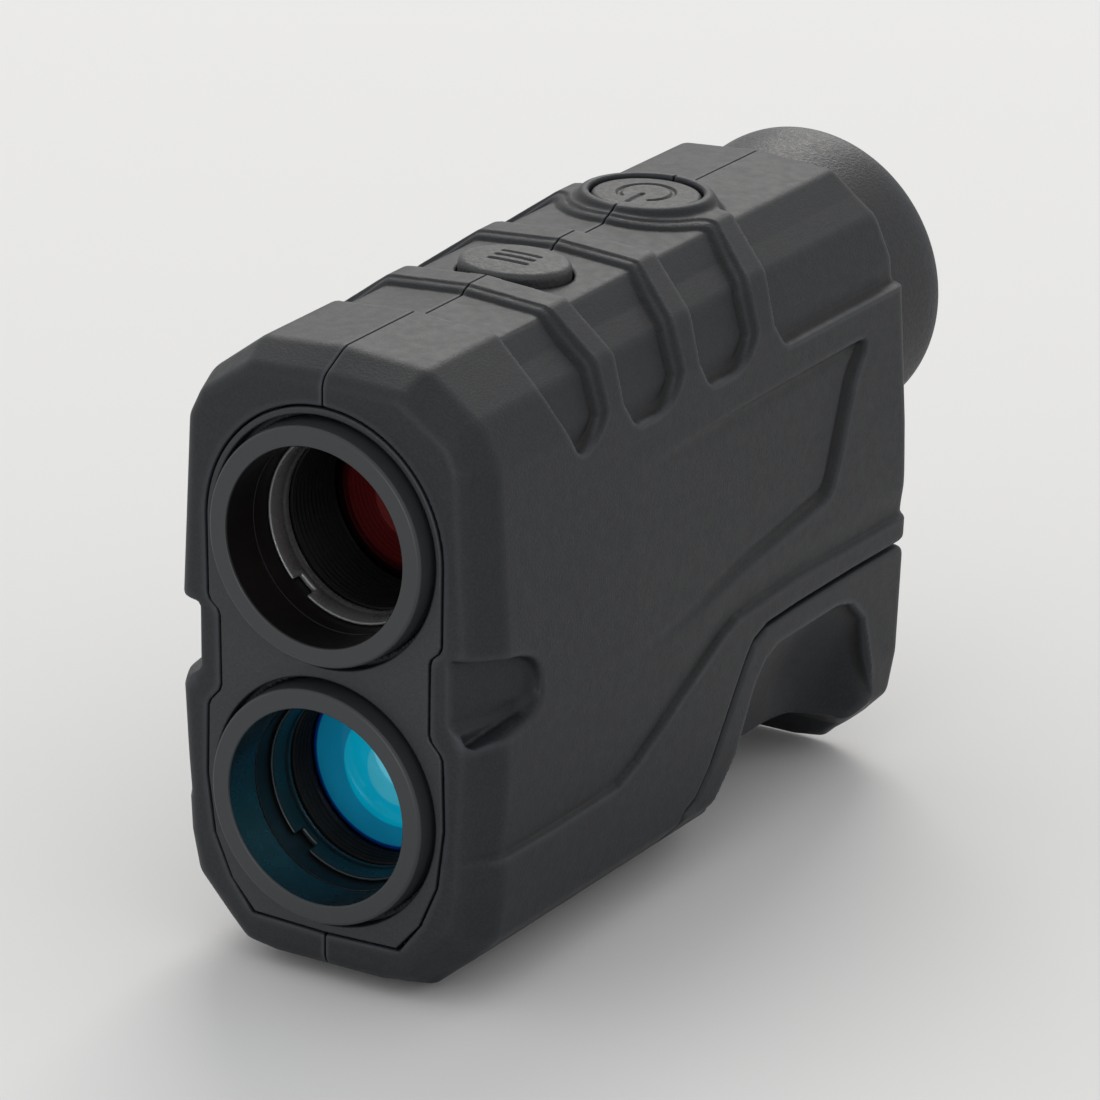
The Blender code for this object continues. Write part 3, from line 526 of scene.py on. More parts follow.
def notch(x, y, z):
    """The scooped thumb notch, open to the front, deepest at the front and sloping below."""
    t = np.clip((21.0 - np.abs(x)) / NOTCH_RUN, -0.4, 1.0)
    found = None
    for k in range(len(NOTCH_MOUTH) - 1):
        (m0y, m0z), (m1y, m1z) = NOTCH_MOUTH[k], NOTCH_MOUTH[k + 1]
        (f0y, f0z), (f1y, f1z) = NOTCH_FLOOR[k], NOTCH_FLOOR[k + 1]
        y0, z0 = m0y + (f0y - m0y) * t, m0z + (f0z - m0z) * t
        y1, z1 = m1y + (f1y - m1y) * t, m1z + (f1z - m1z) * t
        length = np.sqrt((y1 - y0) ** 2 + (z1 - z0) ** 2)
        plane = ((z0 - z1) * (y - y0) + (y1 - y0) * (z - z0)) / length
        found = plane if found is None else blend_max(found, plane, 0.6)
    found = blend_max(found, 16.5 + 0.29 * np.maximum(y, 0.0) - np.abs(x), 0.7)
    (y0, z0), (y1, z1) = LIP_GROOVE
    along = np.clip(((y - y0) * (y1 - y0) + (z - z0) * (z1 - z0)) / ((y1 - y0) ** 2 + (z1 - z0) ** 2), 0, 1)
    away = np.sqrt((y - y0 - along * (y1 - y0)) ** 2 + (z - z0 - along * (z1 - z0)) ** 2)
    groove = blend_max(away - LIP_RADIUS, 17.3 + 0.2 * np.maximum(y, 0.0) - np.abs(x), 0.5)
    return blend_min(found, groove, 0.6)


def hole(x, z, height, radius):
    return np.sqrt(x * x + (z - height) ** 2) - radius


PLATE_ROOM = plate_outline(GAP)
POWER_HALF = (6.75, 5.9)
MODE_Y = 39.1
MODE_HALF = (6.85, 5.5)
BUTTON_GAP = 0.2
BUTTON_WELL_FLOOR = 69.6
HINGE_BORE_R = 0.86
HINGE_BORE_END = 16.3
BARREL_ROOM_R = 15.2
PORT_R = 14.0
EYE_PORT_R = 14.3
EYE_ROOM_R = 16.3


def hinge_bore(x, y, z):
    """The bore of the hinge pin, blind in the right wall."""
    return np.maximum(np.sqrt((y - HINGE_Y) ** 2 + (z - HINGE_Z) ** 2) - HINGE_BORE_R, x - HINGE_BORE_END)


def housing(x, y, z):
    """The right half of the housing."""
    body = shell(x, y, z)
    flat = polygon(y, z, DOOR_ROOM)
    body = carve(body, flat, 0.8)
    room = np.maximum(polygon(x, z, PLATE_ROOM), y - 2.0)
    body = carve(body, room, 0.3)
    for height, end in ((UPPER_Z, 44.0), (LOWER_Z, 36.0)):
        port = np.maximum(hole(x, z, height, PORT_R), y - end)
        wide = np.maximum(np.maximum(hole(x, z, height, BARREL_ROOM_R), y - end), 3.4 - y)
        body = np.maximum(body, -np.minimum(port, wide))
    eye = np.maximum(hole(x, z, EYE_Z, EYE_PORT_R), 88.0 - y)
    eye_wide = np.maximum(hole(x, z, EYE_Z, EYE_ROOM_R), np.maximum(84.0 - y, y - 92.4))
    body = carve(body, np.minimum(eye, eye_wide), 0.4)
    for centre, half in ((POWER_Y, POWER_HALF), (MODE_Y, MODE_HALF)):
        slot = oval(x, y, centre, half[0] + BUTTON_GAP, half[1] + BUTTON_GAP)
        body = carve(body, np.maximum(slot, BUTTON_WELL_FLOOR - z), 0.4)
    body = carve(body, notch(x, y, z), 0.5)
    lug = np.maximum(np.sqrt((y - HINGE_Y) ** 2 + (z - HINGE_Z) ** 2) - 1.8, np.abs(np.abs(x) - 10.0) - 2.0)
    web = box_field(np.abs(x), y, z, (8.0, HINGE_Y - 1.8, HINGE_Z), (12.0, HINGE_Y + 1.8, 29.0))
    body = np.minimum(body, np.minimum(lug, web))
    body = np.maximum(body, -hinge_bore(x, y, z))
    return blend_max(body, 0.04 - x, 0.26)


def not_in_bores(x, y, z):
    """False for the housing faces that the lens barrels and the eyepiece hide."""
    upper = (hole(x, z, UPPER_Z, 15.9) < 0) & (y > 6.0) & (y < 60.0)
    lower = (hole(x, z, LOWER_Z, 15.9) < 0) & (y > 6.0) & (y < 40.0)
    eye = (hole(x, z, EYE_Z, 16.9) < 0) & (y > 80.0) & (y < 92.0)
    return ~(upper | lower | eye)


# The finger scoops as (y, upper edge z, half width left), then the door's arch and heel as (y, z)
SCOOP = [(48.0, 2.0, 23.0), (52.6, 8.8, 17.9), (55.0, 12.6, 17.3), (57.0, 16.8, 16.4), (59.1, 21.1, 15.4),
         (61.1, 23.3, 14.0), (64.1, 24.5, 12.8), (71.2, 24.6, 12.1), (78.4, 24.7, 12.1), (82.0, 23.8, 12.7),
         (85.4, 20.8, 14.8), (87.6, 14.2, 18.2), (92.0, 4.0, 26.0)]
ARCH = [(50.2, -3), (51.4, 0.2), (54.6, 1.3), (57.6, 3.0), (60.2, 5.3), (62.8, 6.8), (66.0, 7.2),
        (83.0, 7.2), (87.0, 6.2), (89.8, 4.0), (91.4, 1.2), (92.4, -3)]
HEEL = [(93.8, -3), (94.2, 0.8), (94.8, 3.0), (94.9, 20.5), (99.0, 20.5), (99.0, -3)]
SCOOP_Y = np.linspace(46.0, 94.0, 241)


def smoothed(column):
    """A column of SCOOP against SCOOP_Y, with its corners rounded off."""
    values = np.interp(SCOOP_Y, [s[0] for s in SCOOP], [s[column] for s in SCOOP])
    kernel = np.exp(-0.5 * (np.arange(-20, 21) * 0.2 / 1.1) ** 2)
    padded = np.concatenate([np.full(20, values[0]), values, np.full(20, values[-1])])
    return np.convolve(padded, kernel / kernel.sum(), "valid")


SCOOP_TOP = smoothed(1)
SCOOP_IN = smoothed(2)
SCOOP_RIM = [(s[0], s[1]) for s in SCOOP] + [(92.0, -20.0), (48.0, -20.0)]


def scoop_wall(y, z):
    """How far out the finger scoops leave the door: a short step at the rim, then a hollow slope."""
    top = np.interp(y, SCOOP_Y, SCOOP_TOP)
    low = np.interp(y, SCOOP_Y, SCOOP_IN)
    inside = -polygon(y, z, SCOOP_RIM)
    heights = [-corner_z for _, corner_z in OUTER_OUTLINE[3:-1]]
    widths = [corner_x for corner_x, _ in OUTER_OUTLINE[3:-1]]
    edge = np.interp(-z, heights, widths)
    rim = np.interp(-top, heights, widths)
    down = np.clip((top - z) / np.maximum(top - 6.4, 2.0), 0.0, 1.3)
    slope = rim + (low - rim) * (1.0 - np.maximum(1.0 - down, 0.0) ** 1.55)
    outside = ramp(0.5 - inside / 1.2)
    return slope + 0.55 - 1.1 * ramp(inside / 1.0 + 0.3) + (edge - slope + 1.6) * outside


def door(x, y, z):
    body = shell(x, y, z)
    body = blend_max(body, polygon(y, z, DOOR_KEEP), 0.9)
    body = blend_max(body, np.abs(x) - scoop_wall(y, z), 0.5)
    body = carve(body, polygon(y, z, ARCH), 1.2)
    body = carve(body, polygon(y, z, HEEL), 0.5)
    body = carve(body, box_field(x, y, z, (-9.8, 52.0, 10.2), (9.8, 91.9, 40.0)), 0.4)
    body = np.maximum(body, -box_field(np.abs(x), y, z, (7.75, 90.6, 23.3), (12.25, 99.0, 32.0)))
    return np.maximum(body, -hinge_bore(x, y, z))


# ---------------------------------------------------------------- procedural materials
def new_material(name):
    made = bpy.data.materials.new(name)
    made.use_nodes = True
    return made, made.node_tree, made.node_tree.nodes["Principled BSDF"]


def add_noise(tree, coords, grain_mm, detail, stretch=None):
    """A noise texture whose features are about grain_mm across."""
    node = tree.nodes.new("ShaderNodeTexNoise")
    node.inputs["Scale"].default_value = 1.0 / (grain_mm * MM)
    node.inputs["Detail"].default_value = detail
    if stretch is None:
        tree.links.new(coords.outputs["Object"], node.inputs["Vector"])
    else:
        mapping = tree.nodes.new("ShaderNodeMapping")
        mapping.inputs["Scale"].default_value = stretch
        tree.links.new(coords.outputs["Object"], mapping.inputs["Vector"])
        tree.links.new(mapping.outputs["Vector"], node.inputs["Vector"])
    return node


def spread(tree, value, low, high, out_low, out_high):
    node = tree.nodes.new("ShaderNodeMapRange")
    node.inputs["From Min"].default_value = low
    node.inputs["From Max"].default_value = high
    node.inputs["To Min"].default_value = out_low
    node.inputs["To Max"].default_value = out_high
    tree.links.new(value, node.inputs["Value"])
    return node.outputs["Result"]


def mix_colour(tree, share, low, high):
    node = tree.nodes.new("ShaderNodeMix")
    node.data_type = "RGBA"
    tree.links.new(share, node.inputs[0])
    for socket, value in ((node.inputs[6], low), (node.inputs[7], high)):
        if isinstance(value, tuple):
            socket.default_value = (*value, 1.0)
        else:
            tree.links.new(value, socket)
    return node.outputs[2]


def surface(name, colour, roughness, grain_mm, bump, mottle=0.12, mottle_mm=6.0, rough_run=0.08,
            edge_highlight=0.5, crease_shade=0.45, specular=0.5, metallic=0.0, stretch=None):
    """A moulded, painted or machined finish: grain, uneven colour and gloss, a painted highlight along
    edges, painted shade in creases.
    """
    made, tree, shader = new_material(name)
    coords = tree.nodes.new("ShaderNodeTexCoord")
    cloud = add_noise(tree, coords, mottle_mm, 4.0)
    grain = add_noise(tree, coords, grain_mm, 3.0, stretch)
    share = spread(tree, cloud.outputs["Fac"], 0.3, 0.7, 0.0, 1.0)
    dark = tuple(c * (1 - mottle) for c in colour)
    light = tuple(c * (1 + mottle) for c in colour)
    base = mix_colour(tree, share, dark, light)
    speck = spread(tree, grain.outputs["Fac"], 0.38, 0.72, 0.0, 0.75)
    base = mix_colour(tree, speck, base, tuple(min(1.0, c * 1.5 + 0.004) for c in colour))
    edge = tree.nodes.new("ShaderNodeAttribute")
    edge.attribute_name = "edge"
    # Painted highlight: the colour is lightened where the edge value is high, along edges.
    painted_edge_highlight = spread(tree, edge.outputs["Fac"], 0.12, 0.9, 0.0, edge_highlight)
    base = mix_colour(tree, painted_edge_highlight, base, tuple(min(1.0, c * 2.6 + 0.012) for c in colour))
    # Painted shade: the colour is darkened where the edge value is low, in creases and along the seam.
    painted_crease_shade = spread(tree, edge.outputs["Fac"], -0.08, -0.8, 0.0, crease_shade)
    base = mix_colour(tree, painted_crease_shade, base, tuple(c * 0.25 for c in colour))
    tree.links.new(base, shader.inputs["Base Color"])
    patch = add_noise(tree, coords, mottle_mm * 0.45, 3.0)
    rough = spread(tree, patch.outputs["Fac"], 0.3, 0.7, roughness - rough_run, roughness + rough_run)
    tree.links.new(rough, shader.inputs["Roughness"])
    raise_node = tree.nodes.new("ShaderNodeBump")
    raise_node.inputs["Strength"].default_value = 0.6
    raise_node.inputs["Distance"].default_value = bump * MM
    tree.links.new(grain.outputs["Fac"], raise_node.inputs["Height"])
    tree.links.new(raise_node.outputs["Normal"], shader.inputs["Normal"])
    shader.inputs["Metallic"].default_value = metallic
    shader.inputs["Specular IOR Level"].default_value = specular
    return made


def coated_glass(name, height, rim, reflection_discs):
    """A coated lens on the axis at a height. Inside the rim colour lie discs of painted reflection: (radius,
    offset, colour).
    """
    made, tree, shader = new_material(name)
    coords = tree.nodes.new("ShaderNodeTexCoord")
    dust = add_noise(tree, coords, 0.6, 4.0)
    base = rim
    for radius, offset, colour in reflection_discs:
        centre = tree.nodes.new("ShaderNodeVectorMath")
        centre.operation = "SUBTRACT"
        centre.inputs[1].default_value = (offset * MM, 0.0, height * MM)
        tree.links.new(coords.outputs["Object"], centre.inputs[0])
        flat = tree.nodes.new("ShaderNodeVectorMath")
        flat.operation = "MULTIPLY"
        flat.inputs[1].default_value = (1.0, 0.0, 1.0)
        tree.links.new(centre.outputs["Vector"], flat.inputs[0])
        away = tree.nodes.new("ShaderNodeVectorMath")
        away.operation = "LENGTH"
        tree.links.new(flat.outputs["Vector"], away.inputs[0])
        share = spread(tree, away.outputs["Value"], (radius + 0.1) * MM, (radius - 0.1) * MM, 0.0, 1.0)
        base = mix_colour(tree, share, base, colour)
    cloud = add_noise(tree, coords, 5.0, 2.0)
    share = spread(tree, cloud.outputs["Fac"], 0.3, 0.7, 0.0, 0.12)
    base = mix_colour(tree, share, base, (0.0, 0.0, 0.0))
    tree.links.new(base, shader.inputs["Base Color"])
    rough = spread(tree, dust.outputs["Fac"], 0.4, 0.8, 0.06, 0.14)
    tree.links.new(rough, shader.inputs["Roughness"])
    shader.inputs["Metallic"].default_value = 0.12
    shader.inputs["Coat Weight"].default_value = 1.0
    shader.inputs["Coat Roughness"].default_value = 0.03
    return made


def clear_glass(name, tint):
    made, tree, shader = new_material(name)
    coords = tree.nodes.new("ShaderNodeTexCoord")
    dust = add_noise(tree, coords, 0.8, 4.0)
    base = mix_colour(tree, spread(tree, dust.outputs["Fac"], 0.3, 0.8, 0.0, 1.0), tint,
                      tuple(c * 0.9 for c in tint))
    tree.links.new(base, shader.inputs["Base Color"])
    rough = spread(tree, dust.outputs["Fac"], 0.4, 0.8, 0.02, 0.06)
    tree.links.new(rough, shader.inputs["Roughness"])
    shader.inputs["Transmission Weight"].default_value = 0.9
    shader.inputs["IOR"].default_value = 1.5
    return made


LOOKS = {
    "armour": surface("armour", (0.0083, 0.0095, 0.0118), 0.53, 0.30, 0.060, mottle=0.05, mottle_mm=3.0,
                      rough_run=0.03, edge_highlight=0.75, crease_shade=0.9, specular=0.32),
    "plate": surface("plate", (0.0125, 0.0148, 0.0166), 0.5, 0.26, 0.034, mottle=0.05, mottle_mm=3.0,
                     rough_run=0.03, edge_highlight=0.6, specular=0.42),
    "ring": surface("ring", (0.0064, 0.0073, 0.0082), 0.4, 0.22, 0.014, mottle=0.05, mottle_mm=3.0,
                    rough_run=0.04, edge_highlight=1.0, specular=0.4),
    "inner_black": surface("inner_black", (0.0025, 0.0025, 0.0028), 0.38, 0.3, 0.006, edge_highlight=0.2,
                           specular=0.25),
    "gloss_black": surface("gloss_black", (0.075, 0.075, 0.078), 0.27, 0.2, 0.03, rough_run=0.1,
                           edge_highlight=0.9, specular=0.8, metallic=0.45, stretch=(1.0, 7.0, 1.0)),
    # teal_black is black with a painted reflection of the cyan lens, for the parts round the lower lens.
    "teal_black": surface("teal_black", (0.0015, 0.0058, 0.0078), 0.3, 0.3, 0.01, rough_run=0.08,
                          edge_highlight=0.5, specular=0.45),
    # The discs on both lenses are painted reflections between the elements, some of them off centre.
    "red_glass": coated_glass("red_glass", UPPER_Z, (0.004, 0.001, 0.001),
                              [(9.3, 0.0, (0.030, 0.002, 0.003)), (8.4, 0.0, (0.072, 0.005, 0.006)),
                               (5.0, 0.6, (0.135, 0.018, 0.018))]),
    "blue_glass": coated_glass("blue_glass", LOWER_Z, (0.0, 0.012, 0.03),
                               [(10.2, 0.0, (0.006, 0.03, 0.24)), (9.8, 0.0, (0.008, 0.34, 0.60)),
                                (7.0, 1.6, (0.0, 0.66, 1.0)), (4.2, 2.2, (0.08, 0.74, 1.0))]),
    "clear_glass": clear_glass("clear_glass", (0.78, 0.85, 0.88)),
    "display": surface("display", (0.36, 0.4, 0.37), 0.12, 0.4, 0.002, specular=0.6),
    "board": surface("board", (0.012, 0.11, 0.04), 0.4, 0.5, 0.02, mottle=0.25, mottle_mm=3.0),
    "metal": surface("metal", (0.62, 0.6, 0.57), 0.26, 0.12, 0.006, metallic=1.0, crease_shade=0.2,
                     stretch=(1.0, 1.0, 6.0)),
    "switch": surface("switch", (0.09, 0.09, 0.095), 0.4, 0.2, 0.01),
    "button_rubber": surface("button_rubber", (0.0150, 0.0158, 0.0172), 0.56, 0.34, 0.14, mottle=0.08,
                             mottle_mm=1.5, rough_run=0.05, edge_highlight=0.5, crease_shade=0.85, specular=0.5),
    "eyecup_rubber": surface("eyecup_rubber", (0.0100, 0.0110, 0.0132), 0.5, 0.34, 0.13, mottle=0.08,
                             mottle_mm=1.5, rough_run=0.05, edge_highlight=0.4, specular=0.5),
    "seal_rubber": surface("seal_rubber", (0.015, 0.015, 0.015), 0.6, 0.3, 0.01),
    "cell_can": surface("cell_can", (0.16, 0.19, 0.24), 0.3, 0.2, 0.006, mottle=0.15, metallic=0.5),
}


def dress(obj, slot, body, *nodes):
    """Gives a piece its finish, its body and the CAD nodes that it stands for."""
    obj.data.materials.clear()
    obj.data.materials.append(LOOKS[slot])
    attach(obj, body)
    if nodes:
        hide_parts(*nodes)
    return obj


# ---------------------------------------------------------------- housing and door
half_axes = [axis_steps((-0.3, 1.1, 0.14), (1.1, 14.0, 0.42), (14.0, 22.8, 0.34)),
             axis_steps((-1.5, 8.0, 0.32), (8.0, 15.0, 0.5), (15.0, 71.0, 0.3), (71.0, 96.3, 0.42)),
             axis_steps((-1.2, 57.0, 0.42), (57.0, 77.0, 0.3))]
half_skin = skin(housing, half_axes, keep=not_in_bores, joined=True)
for mirrored, node in ((False, "housing_right"), (True, "housing_left")):
    dress(moulded(node + "_shell", half_skin, mirror=mirrored), "armour", "housing", node)

door_axes = [axis_steps((-22.8, 22.8, 0.38)), axis_steps((41.0, 96.3, 0.35)),
             axis_steps((-1.2, 29.6, 0.35))]
dress(moulded("battery_door_shell", skin(door, door_axes)), "armour", "battery_door", "battery_door")


# ---------------------------------------------------------------- front plate and rings
def outline_spline(curve, points):
    spline = curve.splines.new("POLY")
    spline.points.add(len(points) - 1)
    for made, (u, v) in zip(spline.points, points):
        made.co = (u * MM, v * MM, 0.0, 1.0)
    spline.use_cyclic_u = True


def circle_points(height, radius, count=128):
    return [(radius * math.cos(math.tau * k / count), height + radius * math.sin(math.tau * k / count))
            for k in range(count)]


PLATE_THICK = 1.7
PLATE_ROUND = 0.22
plate_curve = bpy.data.curves.new("front_plate_cover", "CURVE")
plate_curve.dimensions = "2D"
plate_curve.fill_mode = "BOTH"
plate_curve.extrude = (PLATE_THICK / 2 - PLATE_ROUND) * MM
plate_curve.bevel_depth = PLATE_ROUND * MM
plate_curve.bevel_resolution = 3
outline_spline(plate_curve, plate_outline(-PLATE_ROUND))
for height in (UPPER_Z, LOWER_Z):
    outline_spline(plate_curve, circle_points(height, 14.65 + PLATE_ROUND))
curve_obj = bpy.data.objects.new("plate_curve", plate_curve)
bpy.context.scene.collection.objects.link(curve_obj)
bpy.context.view_layer.update()
plate_mesh = bpy.data.meshes.new_from_object(curve_obj.evaluated_get(
    bpy.context.evaluated_depsgraph_get()))
bpy.data.objects.remove(curve_obj, do_unlink=True)
stand = Matrix(((1, 0, 0, 0), (0, 0, -1, (PLATE_THICK / 2 - MID_Y) * MM), (0, 1, 0, 0), (0, 0, 0, 1)))
plate_mesh.transform(stand)
plate = bpy.data.objects.new("front_plate_cover", plate_mesh)
bpy.context.scene.collection.objects.link(plate)
plate_mesh.shade_smooth()
plate_mesh.set_sharp_from_angle(angle=math.radians(40))
dress(plate, "plate", "housing", "front_plate")

HOOD = [(11.5, -1.72), (11.68, -1.9), (13.62, -1.9), (13.88, -1.64), (14.1, 1.7), (13.5, 1.7), (13.5, 3.3),
        (11.5, 3.3)]
for level, z in (("upper", UPPER_Z), ("lower", LOWER_Z)):
    hood = turned(level + "_hood", HOOD, z, steps=256, radius=0.16)
    dress(hood, "ring", "housing", level + "_hood_ring")
    # The lower hood's bore takes teal_black, black with a painted cyan reflection.
    hood.data.materials.append(LOOKS["inner_black" if level == "upper" else "teal_black"])
    for face in hood.data.polygons:
        away = math.hypot(face.center.x, face.center.z - z * MM) / MM
        face.material_index = int(away < 11.62)


# ---------------------------------------------------------------- inside the two bores
def retainer_field(z):
    def field(x, y, height):
        r = np.sqrt(x * x + (height - z) ** 2)
        ring = blend_max(r - 11.4, 10.45 - r, 0.2)
        ring = blend_max(ring, np.abs(y - 7.5) - 1.5, 0.25)
        cone = 11.05 - (y - 6.0) * 0.2 - r
        step = 10.45 + 4.0 * np.maximum(8.2 - y, 0.0) - r
        ring = blend_max(ring, np.minimum(cone, step), 0.15)
        slot = np.maximum(np.abs(0.77 * x - 0.64 * (height - z)) - 1.2, y - 7.4)
        return carve(ring, slot, 0.2)
    return field


# The lower retaining ring takes teal_black, black with a painted cyan reflection of the lens.
for level, z, look in (("upper", UPPER_Z, "gloss_black"), ("lower", LOWER_Z, "teal_black")):
    axes = [axis_steps((-11.9, 11.9, 0.2)), axis_steps((5.6, 9.4, 0.2)),
            axis_steps((z - 11.9, z + 11.9, 0.2))]
    dress(moulded(level + "_retainer", skin(retainer_field(z), axes)), look, "housing",
          level + "_retaining_ring")


def barrel_profile(shoulder, end):
    return [(11.5, 3.45), (15.0, 3.45), (15.0, 5.4), (13.4, 5.4), (13.4, end - 4), (12.4, end), (9.8, end),
            (9.8, shoulder), (11.5, shoulder)]


dress(turned("upper_barrel", barrel_profile(28.0, 42.0), UPPER_Z, steps=128), "inner_black", "housing",
      "upper_lens_barrel")
dress(turned("lower_barrel", barrel_profile(21.0, 32.0), LOWER_Z, steps=128), "inner_black", "housing",
      "lower_lens_barrel")


def baffle_profile(start, end):
    """A tube whose bore has fine grooves that stop stray light."""
    outside = [(11.35, start), (11.35, end)]
    inside = []
    pitch = 0.75
    count = int((end - start) / pitch)
    for k in range(count, 0, -1):
        inside.append((10.3, start + k * pitch - 0.06))
        inside.append((10.55, start + k * pitch - 0.38))
        inside.append((10.3, start + (k - 1) * pitch + 0.06))
    inside.append((10.3, start + 0.02))
    return outside + [(10.4, end)] + inside


dress(turned("upper_baffle", baffle_profile(9.3, 18.0), UPPER_Z, steps=128, radius=0.05), "inner_black",
      "housing", "upper_baffle_tube")
dress(turned("lower_baffle", baffle_profile(9.3, 13.0), LOWER_Z, steps=128, radius=0.05), "inner_black",
      "housing", "lower_baffle_tube")


def lens_profile(rim, radius, front, rear, rows=12):
    """A lens with curved faces that bulge by front and rear, and an edge from rim[0] to rim[1]."""
    made = []
    for k in range(rows + 1):
        part = k / rows
        made.append((radius * part, rim[0] - front * (1 - part * part)))
    for k in range(rows, -1, -1):
        part = k / rows
        made.append((radius * part, rim[1] + rear * (1 - part * part)))
    return made


dress(turned("objective_front", lens_profile((18.5, 20.6), 11.25, 1.6, 0.9), UPPER_Z, radius=0.05),
      "red_glass", "housing", "objective_front_lens")
dress(turned("receiver_front", lens_profile((13.6, 16.4), 11.25, 1.9, 1.0), LOWER_Z, radius=0.05),
      "blue_glass", "housing", "receiver_lens")


# ---------------------------------------------------------------- buttons
def power_mark(x, y):
    """An open ring with a bar, as a distance in the plane."""
    dy = y - POWER_Y
    ring = np.abs(np.sqrt(x * x + dy * dy) - 3.2) - 0.3
    opening = np.abs(x) * 0.85 + dy * 0.53
    ring = blend_max(ring, -opening, 0.3)
    bar = np.sqrt(x * x + (dy + np.clip(-dy, 0.9, 4.1)) ** 2) - 0.3
    return np.minimum(ring, bar)


def bars_mark(x, y):
    """Three plain bars across the button."""
    found = None
    for shift in (-1.5, 0.0, 1.5):
        bar = np.sqrt((x - np.clip(x, -2.4, 2.4)) ** 2 + (y - MODE_Y - shift) ** 2) - 0.28
        found = bar if found is None else np.minimum(found, bar)
    return found


def button_field(centre, half, top, crown, mark):
    def field(x, y, z):
        wall = oval(x, y, centre, *half)
        spot = (x / half[0]) ** 2 + ((y - centre) / half[1]) ** 2
        roof = z - (top - crown * np.minimum(spot, 1.2))
        engraved = 0.26 * ramp(-mark(x, y) / 0.22 + 0.5)
        cap = blend_max(wall, roof + engraved, 0.75)
        return np.maximum(cap, 70.3 - z)
    return field


for name, centre, half, top, crown, mark in (
        ("power_button", POWER_Y, POWER_HALF, 75.15, 0.12, power_mark),
        ("mode_button", MODE_Y, MODE_HALF, 74.95, 0.35, bars_mark)):
    axes = [axis_steps((-7.3, 7.3, 0.13)), axis_steps((centre - 6.4, centre + 6.4, 0.13)),
            axis_steps((70.0, 73.6, 0.3), (73.6, 75.6, 0.13))]
    dress(moulded(name + "_cap", skin(button_field(centre, half, top, crown, mark), axes)),
          "button_rubber", name, name)


# ---------------------------------------------------------------- eyepiece
EYECUP = [(15.8, 95.5), (16.7, 95.5), (17.0, 97.0), (17.35, 98.8), (17.8, 101.0), (18.2, 103.2),
          (18.5, 105.2), (18.45, 106.2), (18.0, 106.9), (17.4, 107.0), (16.4, 105.8), (15.2, 103.8),
          (14.2, 102.2), (13.3, 101.1), (12.6, 100.5), (12.6, 99.8), (15.8, 99.8)]
dress(turned("eyecup_rubber", EYECUP, EYE_Z, steps=224, radius=0.5), "eyecup_rubber", "diopter", "eyecup")
dress(turned("diopter_collar", [(14.1, 95.4), (15.6, 95.4), (15.6, 99.5), (10.2, 99.5), (10.2, 98.3),
                                (14.1, 98.3)], EYE_Z, steps=160, radius=0.2),
      "inner_black", "diopter", "diopter_ring")
dress(turned("eyepiece_mount", [(9.6, 86.2), (11.6, 86.2), (11.6, 96.6), (10.6, 97.1), (9.0, 97.1),
                                (9.0, 95.2), (9.9, 95.2), (9.9, 90.4), (9.0, 90.4), (9.0, 89.8),
                                (9.6, 89.8)], EYE_Z, steps=128, radius=0.2),
      "inner_black", "eyepiece_cell", "eyepiece_cell")
dress(turned("eye_lens_glass", lens_profile((91.4, 94.4), 9.7, 1.0, 0.9), EYE_Z, radius=0.05),
      "clear_glass", "eyepiece_cell", "eye_lens")

# ---------------------------------------------------------------- CAD nodes that stay
slots = {row["node"]: row["material_slot"] for row in frame["record"]["subparts"]}
for name, node in frame["nodes"].items():
    node.data.materials.clear()
    node.data.materials.append(LOOKS[slots[name]])

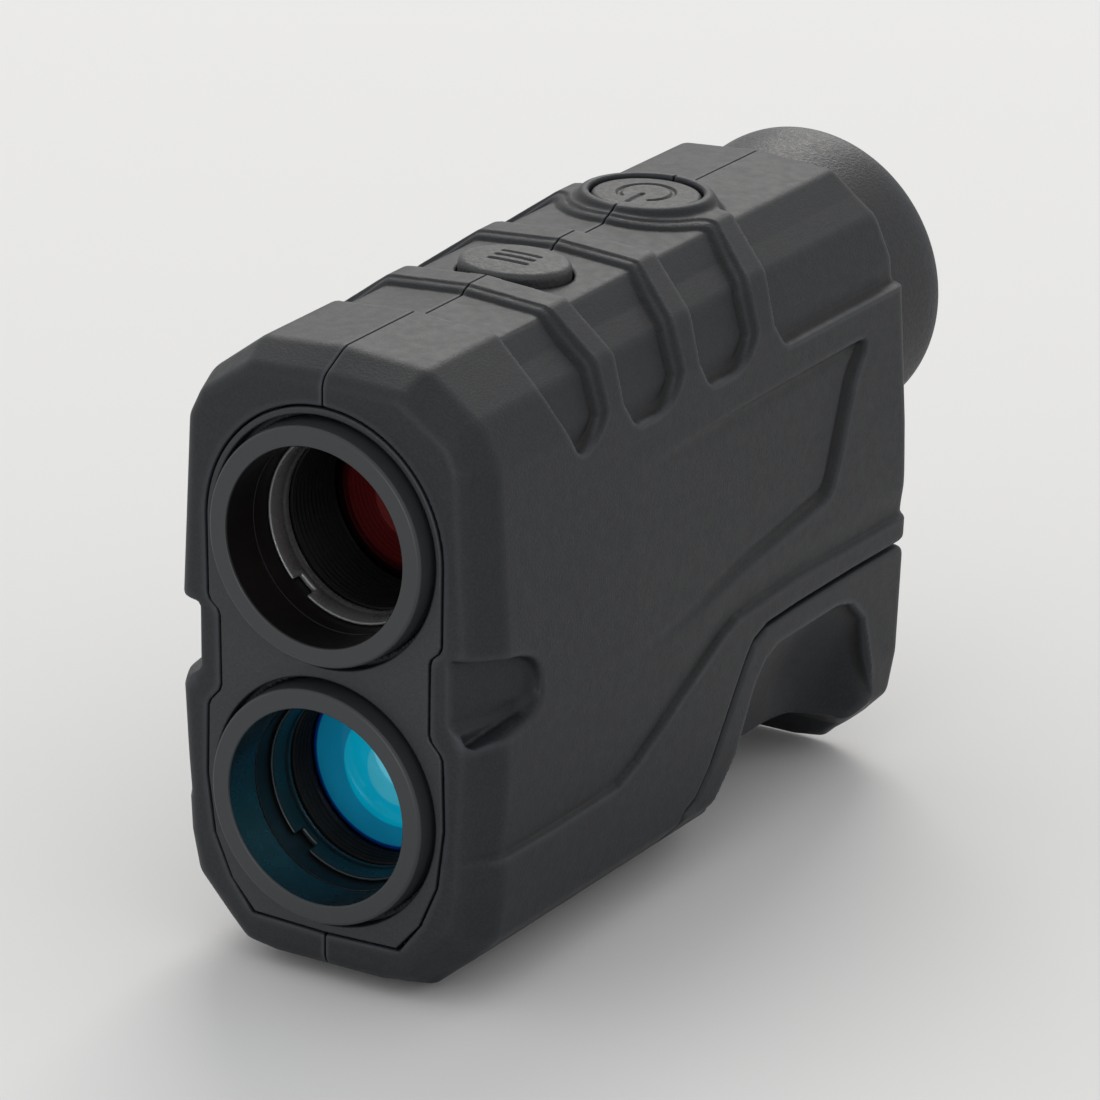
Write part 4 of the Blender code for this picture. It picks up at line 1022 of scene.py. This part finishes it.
# ---------------------------------------------------------------- floor, light and camera
floor_mesh = bpy.data.meshes.new("floor")
HALF_FLOOR = 6.0
floor_mesh.from_pydata([(-HALF_FLOOR, -HALF_FLOOR, 0), (HALF_FLOOR, -HALF_FLOOR, 0),
                        (HALF_FLOOR, HALF_FLOOR, 0), (-HALF_FLOOR, HALF_FLOOR, 0)], [], [(0, 1, 2, 3)])
floor = bpy.data.objects.new("floor", floor_mesh)
floor.location.z = -0.0001
bpy.context.scene.collection.objects.link(floor)
paper, _, paper_shader = new_material("paper")
paper_shader.inputs["Base Color"].default_value = (0.69, 0.69, 0.69, 1.0)
paper_shader.inputs["Roughness"].default_value = 0.95
paper_shader.inputs["Specular IOR Level"].default_value = 0.1
floor_mesh.materials.append(paper)

world = bpy.data.worlds.new("studio")
bpy.context.scene.world = world
world.use_nodes = True
world.node_tree.nodes["Background"].inputs["Color"].default_value = (1.0, 1.0, 1.0, 1.0)
world.node_tree.nodes["Background"].inputs["Strength"].default_value = 0.86


def soft_light(name, place, target, size, power, colour=(1.0, 1.0, 1.0)):
    lamp = bpy.data.lights.new(name, "AREA")
    lamp.shape = "RECTANGLE"
    lamp.size, lamp.size_y = size
    lamp.energy = power
    lamp.color = colour
    obj = bpy.data.objects.new(name, lamp)
    obj.location = place
    obj.rotation_euler = (Vector(target) - Vector(place)).to_track_quat("-Z", "Y").to_euler()
    bpy.context.scene.collection.objects.link(obj)


soft_light("key", (-1.0, 2.0, 1.9), (0, 0, 0.04), (1.5, 1.1), 36.0, (1.0, 0.975, 0.94))
soft_light("bore_fill", (0.02, -0.9, 0.06), (0, 0, 0.037), (0.16, 0.16), 1.5, (0.96, 0.98, 1.0))

AZIMUTH, ELEVATION, ROLL = (math.radians(a) for a in (31.78, 20.52, 0.47))
back = Vector((math.sin(AZIMUTH) * math.cos(ELEVATION), -math.cos(AZIMUTH) * math.cos(ELEVATION),
               math.sin(ELEVATION)))
right = Vector((math.cos(AZIMUTH), math.sin(AZIMUTH), 0.0))
up = back.cross(right)
rolled_right = right * math.cos(ROLL) + up * math.sin(ROLL)
rolled_up = back.cross(rolled_right)
lens = bpy.data.cameras.new("camera")
lens.lens = 206.2
lens.sensor_width = 36.0
lens.clip_start = 0.01
camera = bpy.data.objects.new("camera", lens)
camera.matrix_world = Matrix((
    (rolled_right.x, rolled_up.x, back.x, 0.36055),
    (rolled_right.y, rolled_up.y, back.y, -0.58741),
    (rolled_right.z, rolled_up.z, back.z, 0.29327),
    (0, 0, 0, 1)))
bpy.context.scene.collection.objects.link(camera)
bpy.context.scene.camera = camera
bpy.context.scene.view_settings.view_transform = "Standard"
